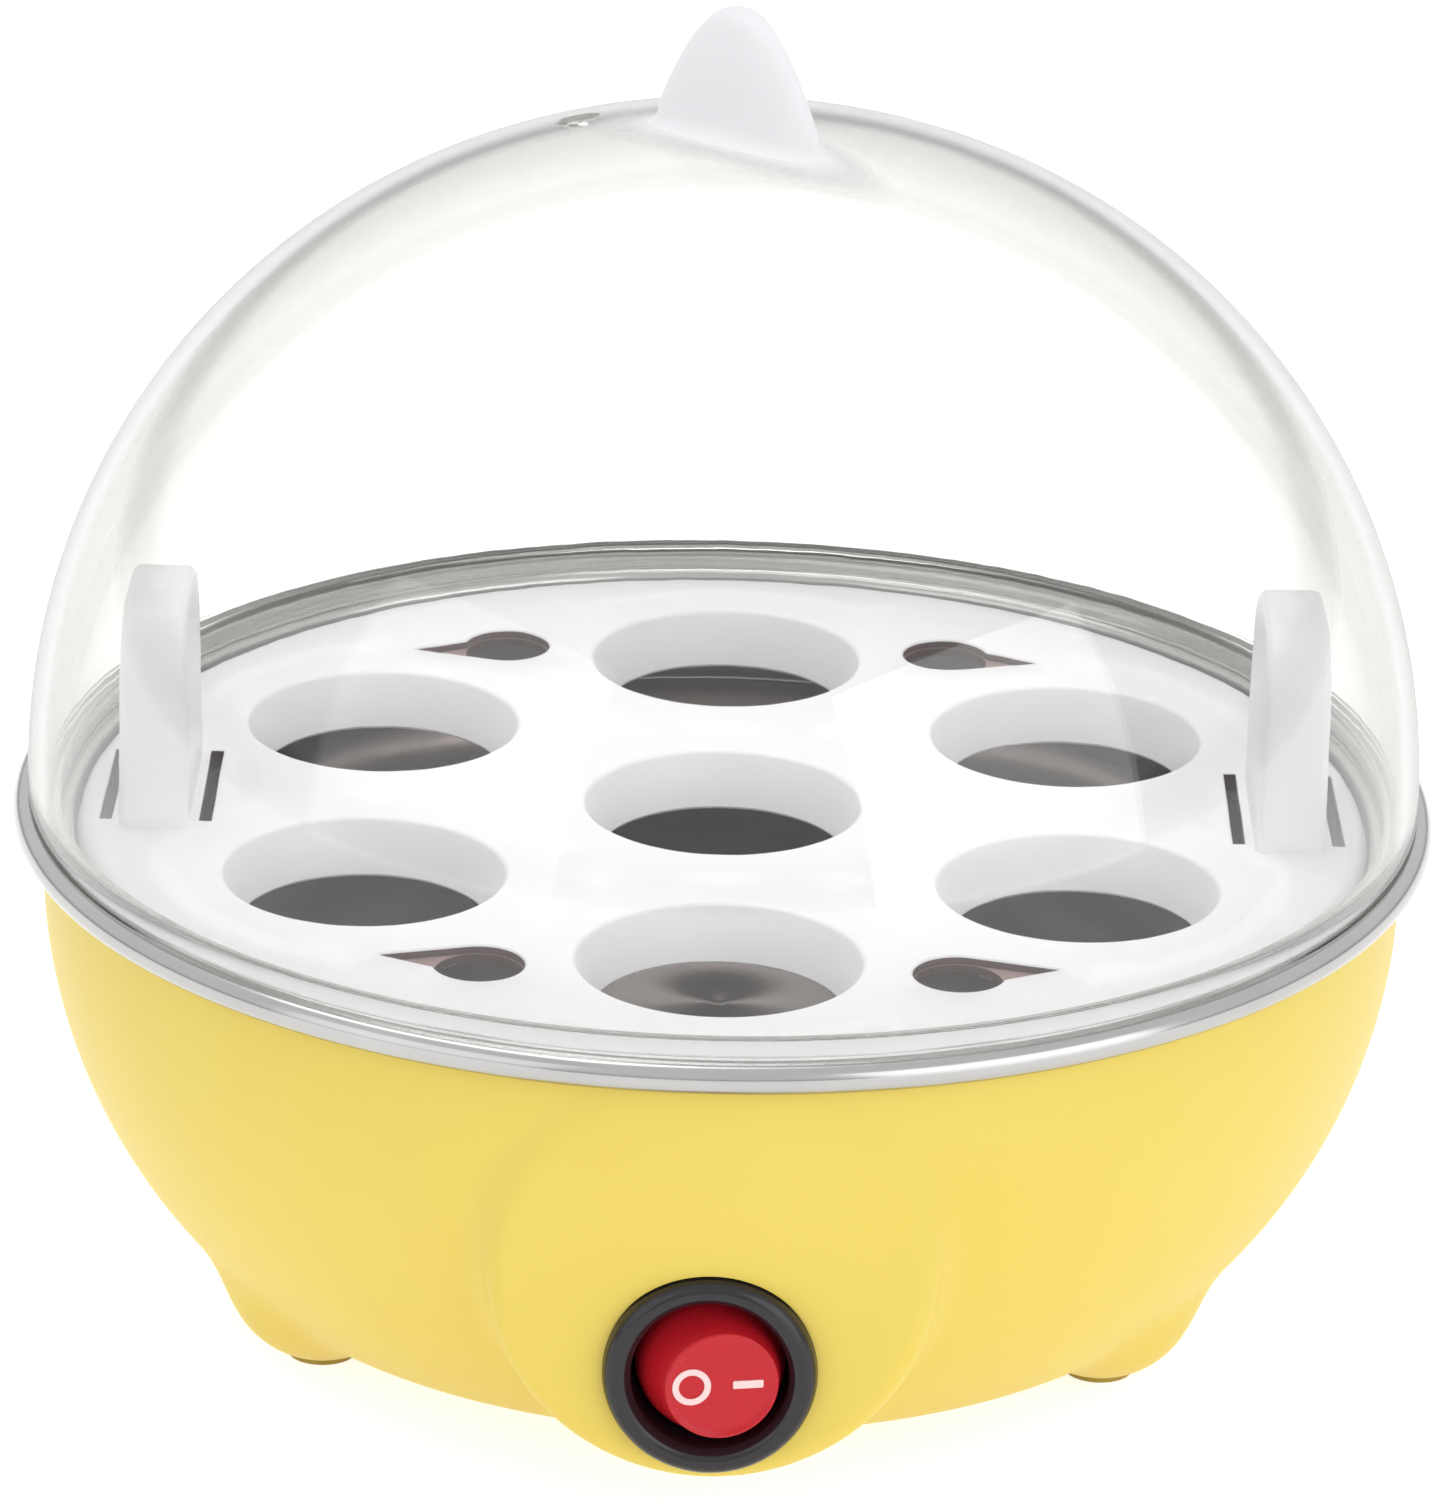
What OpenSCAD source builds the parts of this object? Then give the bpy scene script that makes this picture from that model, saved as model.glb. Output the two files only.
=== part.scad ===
// Steam egg cooker for seven eggs: a bowl-shaped shell, a drawn water pan with a rolled rim,
// a lift-out tray, a clear dome cover and a lit rocker switch in a blister at the front.
// Millimetres, +Z up, origin on the floor under the bowl's axis, the switch faces -Y.

/* [Body shell] */
// Height of the shell's rim plane above the floor
rim_z = 56; // [52:0.5:62]
// How far the bowl's widest line stands inside the rolled rim
shell_inset = 3.4; // [3.2:0.1:4]
// Radius of the bowl's side curve
body_arc_r = 60; // [56:0.5:66]
// How far below the rim plane the bowl is widest
body_wide_drop = 5; // [2:0.5:8]
// Height of the bowl's flat underside above the floor
body_lift = 4; // [3.5:0.1:5]
// Radius between the bowl's side and its underside
body_corner_r = 12; // [8:0.5:16]
// Wall of the shell
body_wall = 2.2; // [1.6:0.1:2.4]

/* [Front blister] */
// How far the blister's flat face stands inside the bowl's widest line
boss_inset = 2.8; // [2:0.1:3.6]
// Radius of the blister
boss_r = 24.3; // [20:0.1:26]
// Height of the blister's centre
boss_z = 32.4; // [30:0.1:34]
// Rounding of the blister's front edge
boss_edge_r = 2.4; // [1:0.1:3]

/* [Feet] */
// How far the feet stand outside the base cover's edge
foot_outset = 2.5; // [1:0.1:4]
// Radius of a foot's round hump
foot_r = 11; // [10:0.1:12]
// Radius of the rubber pad under a foot
pad_r = 4; // [3:0.1:4.4]
// Height of the rubber pad under the hump
pad_h = 1; // [0.8:0.1:1.5]

/* [Water pan] */
// Outer radius of the rolled rim
rim_r = 80; // [79:0.5:84]
// Thickness of the rolled bead
bead_d = 3.6; // [3:0.1:3.7]
// Sheet thickness of the pan
pan_t = 0.6; // [0.5:0.05:0.8]
// Depth of the ledge that carries the tray, below the flange
ledge_depth = 11.2; // [9:0.1:13]
// Width of that ledge
ledge_w = 4.6; // [4:0.1:6]
// Depth of the water bowl below the ledge
pan_bowl_depth = 14; // [12:0.5:15]

/* [Dome cover] */
// How far the dome's side stands inside the rolled rim
dome_inset = 1.7; // [1.4:0.1:2]
// Height of the dome's top above the rim plane
dome_top = 80.8; // [74:0.1:90]
// Distance of the centre of the dome's shoulder from the axis
shoulder_x = 4.3; // [3:0.1:8]
// Radius of the dome's crown
dome_crown_r = 92; // [88:0.5:100]
// Wall of the dome
dome_wall = 1.8; // [1.4:0.1:2.2]
// Height of the fin handle above the dome's top
fin_h = 14.7; // [12:0.1:20]
// Length of the fin at its root
fin_l = 23; // [20:0.5:28]
// Thickness of the fin at its root
fin_t = 5.6; // [5:0.1:7]
// Turn of the fin from the front to back line
fin_turn = 37; // [0:1:90]
// Radius of the steam hole
steam_hole_r = 2.2; // [1.5:0.1:3]

/* [Egg tray] */
// Height of the tray's top above the rim plane
tray_top = 1.8; // [1.2:0.1:2]
// Thickness of the tray
tray_t = 2; // [1.6:0.1:2.4]
// Radius of the circle of six outer egg seats
seat_pitch_r = 45.5; // [45:0.1:46]
// Radius of an egg seat's mouth
seat_r = 15.5; // [14:0.1:16]
// Depth of the collar under an egg seat
seat_collar_h = 4.5; // [3:0.1:6]
// Radius of the round steam vents
vent_r = 5; // [4:0.1:5.2]
// How far a handle's middle stands inside the tray's edge
handle_inset = 9.4; // [8.8:0.1:10]
// Thickness of a handle at its root
handle_t = 8; // [7.4:0.1:8.2]
// Width of a handle
handle_w = 24; // [20:0.5:26]
// Height of a handle above the tray
handle_h = 25; // [20:0.5:30]
// Width of the slots beside a handle
slot_w = 1.4; // [1:0.1:1.6]

/* [Rocker switch] */
// Height of the switch's centre
switch_z = 21.4; // [21:0.1:22]
// Radius of the bezel
bezel_r = 11.6; // [11.4:0.1:12]
// Thickness of the bezel
bezel_t = 2.2; // [1.8:0.1:2.6]
// Radius of the switch's barrel
barrel_r = 9.9; // [9.7:0.1:10]
// Length of the barrel behind the panel
barrel_l = 17; // [16:0.5:19]
// Radius of the opening for the rocker
rocker_hole_r = 8.5; // [8.3:0.05:8.6]
// Half of the rocker's full tilt, in degrees
rocker_tilt = 10; // [6:0.5:10]

/* [Base and heater] */
// How far the base cover's edge stands inside the shell's flat underside
base_inset = 1.5; // [1:0.1:3]
// Thickness of the base cover
base_t = 2; // [1.6:0.1:2.2]
// How far the three fixing screws stand inside the base cover's edge
screw_inset = 9; // [8.8:0.1:9.4]
// Radius of the fixing screws' shanks
screw_r = 1.95; // [1.5:0.05:2]
// Length of a pan standoff
standoff_l = 9.4; // [8:0.1:11]
// How far the heater plate's edge stands inside the circle of screws
plate_inset = 4.6; // [4.2:0.1:6]
// Thickness of the heater plate
heater_plate_t = 5; // [4.5:0.1:5.5]
// How far the heater tube's circle stands inside the plate's edge
tube_inset = 8.4; // [6:0.1:9]
// Radius of the heater tube
heater_tube_r = 3.3; // [2.8:0.1:3.4]
// Radius of the thermostat's cap
thermostat_r = 8; // [7.5:0.1:8.5]

/* [Cord inlet] */
// Height of the cord inlet's centre
inlet_z = 17; // [16:0.1:19]
// Radius of the gland's bore
inlet_bore_r = 3.2; // [2.5:0.1:3.6]
// How far the inlet's flat seat stands inside the bowl's widest line
inlet_inset = 5.2; // [4:0.1:5.6]
// Radius of the gland's flange
inlet_flange_r = 9; // [8.6:0.1:9.4]

/* [Hidden] */

$fn = 96;
eps = 0.05;
far = 200;
gap = 0.3;          // clearance between bodies that move apart
slip = 0.1;         // clearance of a piece in its hole
fit = 0.06;         // clearance of a pivot in its bearing

// Bowl
body_r = rim_r - shell_inset;
boss_face_y = body_r - boss_inset;
bowl_arc_x = body_r - body_arc_r;
bowl_arc_z = rim_z - body_wide_drop;
cross = 0.02;       // how far one arc stands proud of the next, so that they cross and don't just touch
corner_x = cross + bowl_arc_x
    + sqrt(pow(body_arc_r - body_corner_r, 2) - pow(body_lift + body_corner_r - bowl_arc_z, 2));
shell_top_z = rim_z + 0.6;
seal_h = 1;
flange_under_z = shell_top_z + seal_h;
flange_z = flange_under_z + pan_t;
base_r = corner_x - base_inset;
foot_ring_r = base_r + foot_outset;
foot_angles = [210, 330, 90];
pad_stem_r = 2.2;
pad_stem_h = 2.2;
base_hole_r = base_r - 3.6;
ring_t = 2.2;

// Cord gland
inlet_face_y = body_r - inlet_inset;
pad_out_r = inlet_flange_r + 1.8;
flange_h = 2;
neck_w = 9.4;
neck_l = 7;
nut_t = 2;

// Pan
flange_w = 2.5;
bead_r = bead_d / 2;
bead_x = rim_r - bead_r;
bead_z = rim_z + bead_r;
pan_wall_r = rim_r - bead_d - flange_w;
ledge_z = flange_z - ledge_depth;
ledge_in_r = pan_wall_r - pan_t - ledge_w;
pan_floor_z = ledge_z - pan_bowl_depth;
pan_under_z = pan_floor_z - pan_t;

// Dome
dome_foot_z = bead_z + bead_r + gap;
crown_z = rim_z + dome_top - dome_crown_r;
dome_r = rim_r - dome_inset;
dome_shoulder_r = dome_r - shoulder_x;
shoulder_z = crown_z + sqrt(pow(dome_crown_r - dome_shoulder_r, 2) - pow(shoulder_x, 2));
crown_slope = atan2(shoulder_z - crown_z, shoulder_x);
skirt_r = bead_x - bead_r - gap;
skirt_t = 1.4;

// Tray
tray_z = rim_z + tray_top;
tray_slip = 0.4;
tray_r = pan_wall_r - pan_t - tray_slip;
handle_x = tray_r - handle_inset;
vent_ring_r = seat_pitch_r + 9.1;
vent_turn = 1.7;
tail_ring_r = vent_ring_r + 4.8;
tail_turn = 9.3;
tail_foot = 25;
tail_depth = 1.1;
tray_edge_r = 2;
seat_angles = [30, 90, 150, 210, 270, 330];
vent_angles = [60, 120, 240, 300];
slot_x = handle_t / 2 + 1.6;
slot_l = 21.4;
slot_y = 1.3;

// Base and heater
base_top_z = body_lift + base_t;
screw_ring_r = base_r - screw_inset;
heater_plate_r = screw_ring_r - plate_inset;
heater_ring_r = heater_plate_r - tube_inset;
post_r = 5;
head_r = 3.5;
head_h = 2.4;
post_top_z = pan_under_z - standoff_l;
head_seat_z = base_top_z + 5;
screw_angles = [30, 150, 270];
plate_under_z = pan_under_z - heater_plate_t;
tube_z = plate_under_z;
tube_gap_angle = 50;
tube_leg_l = 7;
tube_leg_z = tube_z - tube_leg_l;
pin_r = 1.2;
pin_l = 2.5;
pin_tab_l = 6.5;
flange_head_r = 2.7;
flange_head_h = 1.8;
flange_thread_l = 3.6;
cap_h = 3;
stat_top_z = plate_under_z - cap_h;
stat_body_r = thermostat_r - 0.8;
stat_body_h = 8;
stat_tab_x = 4;
stat_tab_l = 7;
stat_under_z = stat_top_z - stat_body_h;
flange_screw_x = 13;
flange_screw_r = 1.45;
fuse_y = 15.5;
sleeve_r = 2.4;
fuse_r = 1.7;
fuse_l = 10;
fuse_lead_r = 0.5;
fuse_lead_l = 18;
sleeve_l = 14;
clip_t = 0.6;
clip_w = 5;
fuse_z = plate_under_z - sleeve_r - 0.05;
tab_w = 6.3;
tab_t = 0.8;
pin_x = heater_ring_r * sin(tube_gap_angle / 2);
pin_y = heater_ring_r * cos(tube_gap_angle / 2);

// Switch, in its own frame: +Z points out of the panel, +X stays +X
pivot_depth = 4.3;                   // from the panel's face back to the pivot
rocker_ball_r = rocker_hole_r - 0.3;
rocker_top = 7.9;
rocker_face_r = 6.3;
rocker_cut = -3.5;
trunnion_r = 1.2;
barrel_back = -(barrel_l - pivot_depth);
barrel_floor = barrel_back + 1.6;
plunger_r = 1.2;
plunger_tip = -8.7;
plate_z = plunger_tip - 0.5;
plate_t = 0.6;
plate_w = 4;
knuckle_r = 0.7;
plate_tilt = 0.6 * rocker_tilt;
terminal_x = 5.6;
terminal_w = 4.8;
terminal_t = 0.8;
terminal_l = 8.5;
contact_z = plate_z - plate_t / 2 - terminal_x * tan(plate_tilt) - slip;
switch_pivot_y = boss_face_y - pivot_depth;
lamp_r = 1.7;
lamp_l = 8;

// Terminal block and wires
block_y = 33;
block = [22, 12, 9];
bore_x = 5;
bore_z = base_top_z + 4.5;
wire_r = 1.1;
bore_r = wire_r + gap;
block_screw_y = 3;
block_screw_r = 1.2;

// one arc's points, from angle a0 to angle a1
function arc(c, r, a0, a1, n) =
    [for (i = [0 : n]) let (a = a0 + (a1 - a0) * i / n) [c[0] + r * cos(a), c[1] + r * sin(a)]];

// copies on a circle about the axis
module around(r, angles) {
    for (a = angles) rotate([0, 0, a]) translate([r, 0, 0]) children();
}

// places a child from the switch's frame into the panel: +Z turns to -Y
module on_panel(y) {
    translate([0, -y, switch_z]) rotate([90, 0, 0]) children();
}

// ---------- shell ----------

// half section of the bowl, moved in by the given amount
module bowl_2d(inset, top) {
    bottom = body_lift + inset;
    arc_r = body_arc_r - inset;
    meet_z = bowl_arc_z - (bowl_arc_z - body_lift - body_corner_r) * arc_r / (body_arc_r - body_corner_r);
    intersection() {
        translate([bowl_arc_x, bowl_arc_z]) circle(arc_r);
        union() {
            translate([0, meet_z]) square([far, top - meet_z]);
            translate([0, bottom]) square([corner_x, meet_z - bottom + eps]);
            translate([corner_x, body_lift + body_corner_r]) circle(body_corner_r - inset);
        }
    }
}

module bowl(inset, top) {
    rotate_extrude() intersection() {
        bowl_2d(inset, top);
        square([far, far]);
    }
}

// round blister with a rounded front edge, from the axis plane outwards
module blister(r, face_y, edge_r) {
    translate([0, 0, boss_z]) rotate([90, 0, 0]) rotate_extrude() union() {
        square([r, face_y - edge_r]);
        square([r - edge_r, face_y]);
        translate([r - edge_r, face_y - edge_r]) circle(edge_r);
    }
}

module inlet_pad(r, y0, y1) {
    translate([0, y1, inlet_z]) rotate([90, 0, 0]) cylinder(r = r, h = y1 - y0);
}

module body_shell() {
    color("#f4de72") difference() {
        union() {
            bowl(0, shell_top_z);
            blister_out();
            inlet_pad(pad_out_r, body_r / 2, inlet_face_y);
            around(foot_ring_r, foot_angles) translate([0, 0, foot_r]) sphere(foot_r);
        }
        difference() {
            union() {
                bowl(body_wall, far);
                blister_in();
                inlet_pad(inlet_flange_r, body_r / 2, inlet_face_y - body_wall);
            }
            // thick ring that carries the base cover
            cylinder(r = base_r + 4, h = base_top_z + ring_t);
        }
        // opening for the base cover, with its rebate
        translate([0, 0, -eps]) cylinder(r = base_hole_r, h = base_top_z + ring_t + 1);
        translate([0, 0, -eps]) cylinder(r = base_r + 0.2, h = base_top_z + eps);
        // feet are cut level, with a socket for each pad's stem
        translate([0, 0, -far + pad_h]) cylinder(r = far, h = far);
        around(foot_ring_r, foot_angles) cylinder(r = pad_stem_r + slip, h = pad_h + pad_stem_h + slip);
        // seat and hole of the switch
        on_panel(boss_face_y) cylinder(r = bezel_r + 0.25, h = 10);
        on_panel(boss_face_y) translate([0, 0, -10]) cylinder(r = barrel_r + 0.15, h = 12);
        // seat and hole of the cord gland
        translate([0, inlet_face_y + 10, inlet_z]) rotate([90, 0, 0]) cylinder(r = inlet_flange_r + 0.25, h = 10);
        translate([0, inlet_face_y, inlet_z]) cube([neck_w + 2 * slip, 20, neck_w + 2 * slip], center = true);
    }
}

module blister_out() {
    intersection() {
        blister(boss_r, boss_face_y, boss_edge_r);
        cylinder(r = far, h = shell_top_z);
    }
}

module blister_in() {
    intersection() {
        blister(boss_r - body_wall, boss_face_y - body_wall, 0.6);
        cylinder(r = far, h = shell_top_z);
    }
}

module rim_seal() {
    color("#c9c9c9") translate([0, 0, shell_top_z]) difference() {
        cylinder(r = body_r - 0.5, h = seal_h);
        translate([0, 0, -eps]) cylinder(r = pan_wall_r + 0.5, h = seal_h + 2 * eps);
    }
}

module rubber_feet() {
    color("#35332f") around(foot_ring_r, foot_angles) {
        cylinder(r = pad_r, h = pad_h);
        cylinder(r = pad_stem_r, h = pad_h + pad_stem_h);
    }
}

// ---------- pan ----------

module water_pan() {
    wall_in = pan_wall_r - pan_t;
    side = [ledge_in_r - pan_bowl_depth, ledge_z];
    color("#c8c8c8") {
        rotate_extrude() union() {
            // rolled bead, open at the inner lower side where the sheet's edge ends
            difference() {
                translate([bead_x, bead_z]) circle(bead_r);
                translate([bead_x, bead_z]) circle(bead_r - pan_t);
                polygon([[bead_x, bead_z], [bead_x - far, bead_z - 0.35], [bead_x - far, bead_z - far],
                         [bead_x - 0.6, bead_z - far]]);
            }
            // flange, wall, ledge, rounded side and flat bottom
            polygon(concat(
                [[bead_x - bead_r + 0.35, flange_z]],
                arc([wall_in + 0.8, flange_z - 0.8], 0.8, 90, 180, 4),
                [[wall_in, ledge_z]],
                arc(side, pan_bowl_depth, 0, -90, 12),
                [[0, pan_floor_z], [0, pan_under_z]],
                arc(side, pan_bowl_depth + pan_t, -90, -asin(pan_t / (pan_bowl_depth + pan_t)), 12),
                [[pan_wall_r, ledge_z - pan_t], [pan_wall_r, flange_under_z],
                 [bead_x - bead_r + 0.35, flange_under_z]]));
        }
    }
}

module pan_standoffs() {
    color("#d8c37a") around(screw_ring_r, screw_angles) translate([0, 0, post_top_z]) difference() {
        cylinder(r = 3.4, h = standoff_l, $fn = 6);
        translate([0, 0, -eps]) cylinder(r = screw_r + slip, h = standoff_l - 1.5);
    }
}

// ---------- dome cover ----------

// half section of the dome, moved in by the given amount
module dome_2d(inset, bottom) {
    crown_r = dome_crown_r - inset;
    intersection() {
        union() {
            translate([0, bottom]) square([dome_r - inset, shoulder_z - bottom]);
            translate([shoulder_x + cross, shoulder_z + cross]) circle(dome_shoulder_r - inset);
            intersection() {
                translate([0, crown_z]) circle(crown_r);
                translate([0, shoulder_z]) square([crown_r * cos(crown_slope), far]);
            }
        }
        translate([0, bottom]) square([far, far]);
    }
}

// blade of the fin: a bell in side view that thins to both ends; inset hollows it
module fin(inset, sink) {
    tip = rim_z + dome_top + fin_h;
    end_r = 1.7 - inset;
    mid_r = fin_t / 2 - inset;
    rotate([0, 0, -fin_turn]) hull() {
        for (s = [-1, 1]) {
            translate([0, s * 1.2, tip - 1.9]) sphere(1.9 - inset, $fn = 20);
            for (drop = [4.2, 8.6])
                translate([0, s * (fin_l / 2 * sqrt(drop / fin_h) - end_r), tip - drop]) sphere(end_r, $fn = 20);
            translate([0, s * (fin_l / 2 - 1.7), tip - fin_h - sink]) cylinder(r = end_r, h = 1, $fn = 20);
            translate([0, s * 3, tip - fin_h - sink]) cylinder(r = mid_r, h = 1, $fn = 24);
        }
    }
}

module dome_cover() {
    color("#e9eaec", 0.35) difference() {
        union() {
            rotate_extrude() union() {
                difference() {
                    dome_2d(0, dome_foot_z);
                    dome_2d(dome_wall, dome_foot_z - eps);
                }
                translate([skirt_r - skirt_t, dome_foot_z]) square([dome_r - skirt_r + skirt_t, 1.5]);
                translate([skirt_r - skirt_t, flange_z]) square([skirt_t, dome_foot_z - flange_z + 1]);
            }
            fin(0, 1.4);
        }
        fin(1.2, dome_wall + 2);
        rotate([0, 0, -fin_turn]) translate([-22, 0, rim_z]) cylinder(r = steam_hole_r, h = far);
    }
}

// ---------- egg tray ----------

module seat_places() {
    children();
    around(seat_pitch_r, seat_angles) children();
}

// side outline of a handle, along Y and Z, moved in by the given amount
module handle_side(inset, bottom) {
    corner = 8;
    w = handle_w / 2 - inset;
    translate([-w, bottom]) square([2 * w, handle_h - corner - bottom]);
    translate([-handle_w / 2 + corner, bottom]) square([handle_w - 2 * corner, handle_h - inset - bottom]);
    for (s = [-1, 1])
        translate([s * (handle_w / 2 - corner), handle_h - corner]) circle(corner - inset);
}

// a handle's block with a slight draft, standing on the tray's top
module handle_block(inset, bottom) {
    root = handle_t / 2 - inset;
    top = root - 0.6;
    intersection() {
        rotate([90, 0, 90]) translate([0, 0, -handle_t]) linear_extrude(2 * handle_t) handle_side(inset, bottom);
        rotate([90, 0, 0]) translate([0, 0, -handle_w]) linear_extrude(2 * handle_w)
            polygon([[-root, bottom], [root, bottom], [root, 0], [top, handle_h], [-top, handle_h], [-root, 0]]);
    }
}

// drop-shaped steam vent: a round hole with a shallow tail, that leaves it on a tangent at the inner side
module vent(mid, side) {
    hole = vent_ring_r * [cos(mid + side * vent_turn), sin(mid + side * vent_turn)];
    tip = tail_ring_r * [cos(mid - side * tail_turn), sin(mid - side * tail_turn)];
    run = tip - hole;
    reach = norm(run);
    within = vent_r - cross;
    lean = acos(vent_r / reach);
    aim = atan2(run[1], run[0]);
    translate([hole[0], hole[1], -far / 2]) cylinder(r = vent_r, h = far);
    translate([hole[0], hole[1], -tail_depth]) rotate([0, 0, aim]) linear_extrude(5)
        polygon([[0, 0], within * [cos(tail_foot), side * sin(tail_foot)], [reach, 0],
                 within * [cos(lean), -side * sin(lean)]]);
}

module egg_tray() {
    color("#f2f1f6") translate([0, 0, tray_z]) difference() {
        union() {
            rotate_extrude() union() {
                translate([0, -tray_t]) square([tray_r - tray_edge_r, tray_t]);
                difference() {
                    union() {
                        translate([tray_r - tray_edge_r, -tray_edge_r]) circle(tray_edge_r);
                        translate([tray_r - tray_t, ledge_z - tray_z]) square([tray_t, tray_z - ledge_z - tray_edge_r]);
                    }
                    translate([0, -far - tray_t]) square([tray_r - tray_t, far]);
                }
            }
            seat_places() translate([0, 0, -tray_t - seat_collar_h])
                cylinder(r1 = seat_r - 0.2, r2 = seat_r + 1.6, h = tray_t + seat_collar_h);
            for (s = [-1, 1]) translate([s * handle_x, 0, 0]) handle_block(0, -tray_t);
        }
        seat_places() translate([0, 0, -tray_t - seat_collar_h - eps])
            cylinder(r1 = seat_r - 1.8, r2 = seat_r, h = tray_t + seat_collar_h + 2 * eps);
        for (s = [-1, 1]) translate([s * handle_x, 0, 0]) {
            handle_block(1.6, -tray_t - 1);
            for (e = [-1, 1]) translate([e * slot_x, slot_y, 0])
                cube([slot_w, slot_l, 4 * tray_t], center = true);
        }
        for (i = [0 : 3]) vent(vent_angles[i], i % 2 == 0 ? 1 : -1);
    }
}

// ---------- base ----------

module base_cover() {
    color("#e9d36a") difference() {
        union() {
            translate([0, 0, body_lift]) cylinder(r = base_r, h = base_t);
            around(screw_ring_r, screw_angles) translate([0, 0, body_lift]) cylinder(r = post_r, h = post_top_z - body_lift);
        }
        around(screw_ring_r, screw_angles) {
            translate([0, 0, body_lift - eps]) cylinder(r = head_r + 0.2, h = head_seat_z - body_lift + eps);
            cylinder(r = screw_r + 0.2, h = far);
        }
        // ventilation slots
        for (x = [-16 : 8 : 16]) translate([x, -4, body_lift + base_t / 2])
            cube([3, 30 - abs(x) / 2, 2 * base_t], center = true);
    }
}

module base_screws() {
    color("#b9bcc0") around(screw_ring_r, screw_angles) translate([0, 0, head_seat_z]) difference() {
        union() {
            translate([0, 0, -head_h]) cylinder(r = head_r, h = head_h);
            cylinder(r = screw_r, h = post_top_z - head_seat_z + standoff_l - 2);
        }
        for (a = [0, 90]) rotate([0, 0, a]) translate([0, 0, -head_h]) cube([4.2, 1, 2.4], center = true);
    }
}

// ---------- heater ----------

module heater_plate() {
    color("#aeb2b6") translate([0, 0, plate_under_z]) difference() {
        cylinder(r = heater_plate_r, h = heater_plate_t);
        rotate_extrude() translate([heater_ring_r, 0]) circle(heater_tube_r + slip);
        for (s = [-1, 1]) translate([s * flange_screw_x, 0, -eps]) cylinder(r = flange_screw_r + slip, h = 4);
    }
}

module heater_tube() {
    color("#8d8a86") translate([0, 0, tube_z]) {
        rotate([0, 0, 90 + tube_gap_angle / 2]) rotate_extrude(angle = 360 - tube_gap_angle)
            translate([heater_ring_r, 0]) circle(heater_tube_r);
        around(heater_ring_r, [90 - tube_gap_angle / 2, 90 + tube_gap_angle / 2]) {
            sphere(heater_tube_r);
            translate([0, 0, tube_leg_z - tube_z]) cylinder(r = heater_tube_r, h = tube_z - tube_leg_z);
        }
    }
}

module heater_pins() {
    color("#c9ccd0") for (s = [-1, 1]) translate([s * pin_x, pin_y, tube_leg_z]) {
        translate([0, 0, -pin_l]) cylinder(r = pin_r, h = pin_l);
        translate([-tab_w / 2, -tab_t / 2, -pin_l - pin_tab_l]) cube([tab_w, tab_t, pin_tab_l]);
    }
}

module thermostat() {
    color("#b7773a") {
        translate([0, 0, stat_top_z]) cylinder(r = thermostat_r, h = cap_h);
        translate([0, 0, stat_under_z]) cylinder(r = stat_body_r, h = stat_body_h);
    }
}

module thermostat_tabs() {
    color("#c9ccd0") for (s = [-1, 1])
        translate([s * stat_tab_x - tab_t / 2, -tab_w / 2, stat_under_z - stat_tab_l]) cube([tab_t, tab_w, stat_tab_l]);
}

module thermostat_flange() {
    color("#b9bcc0") translate([0, 0, stat_top_z - tab_t]) difference() {
        union() {
            cylinder(r = thermostat_r + 1.6, h = tab_t);
            translate([-flange_screw_x, -3.4, 0]) cube([2 * flange_screw_x, 6.8, tab_t]);
            for (s = [-1, 1]) translate([s * flange_screw_x, 0, 0]) cylinder(r = 3.4, h = tab_t);
        }
        translate([0, 0, -eps]) cylinder(r = stat_body_r + slip, h = 2);
        for (s = [-1, 1]) translate([s * flange_screw_x, 0, -eps]) cylinder(r = flange_screw_r + slip, h = 2);
    }
}

module thermostat_screws() {
    color("#b9bcc0") for (s = [-1, 1]) translate([s * flange_screw_x, 0, stat_top_z - tab_t]) {
        translate([0, 0, -flange_head_h]) cylinder(r = flange_head_r, h = flange_head_h);
        cylinder(r = flange_screw_r, h = cap_h + tab_t + flange_thread_l);
    }
}

module thermal_fuse() {
    color("#d8d8d0") translate([0, fuse_y, fuse_z]) rotate([0, 90, 0]) {
        cylinder(r = fuse_r, h = fuse_l, center = true);
        cylinder(r = fuse_lead_r, h = fuse_lead_l, center = true);
    }
}

module fuse_sleeve() {
    color("#f0efe6") translate([0, fuse_y, fuse_z]) rotate([0, 90, 0]) difference() {
        cylinder(r = sleeve_r, h = sleeve_l, center = true);
        cylinder(r = fuse_r + slip, h = sleeve_l + 1, center = true);
    }
}

module fuse_clip() {
    color("#b9bcc0") translate([0, fuse_y, fuse_z]) rotate([90, 0, 90]) linear_extrude(clip_w, center = true) difference() {
        union() {
            circle(sleeve_r + slip + clip_t);
            for (s = [-1, 1]) translate([s * (sleeve_r + 1.8) - 1.8, sleeve_r + 0.05 - clip_t]) square([3.6, clip_t]);
        }
        circle(sleeve_r + slip);
        translate([-far, sleeve_r + 0.05]) square(2 * far);
        translate([-sleeve_r - slip, 0]) square([2 * (sleeve_r + slip), far]);
    }
}

// ---------- switch ----------

module bezel() {
    edge = bezel_t - 0.8;
    rotate_extrude() difference() {
        union() {
            square([bezel_r, 0.8]);
            square([bezel_r - edge, bezel_t]);
            translate([bezel_r - edge, 0.8]) circle(edge);
        }
        translate([0, -far]) square(far);
        polygon([[0, bezel_t + 1], [rocker_hole_r + 1.9, bezel_t + 1], [rocker_hole_r - eps, bezel_t - 1],
                 [0, bezel_t - 1]]);
    }
}

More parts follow.
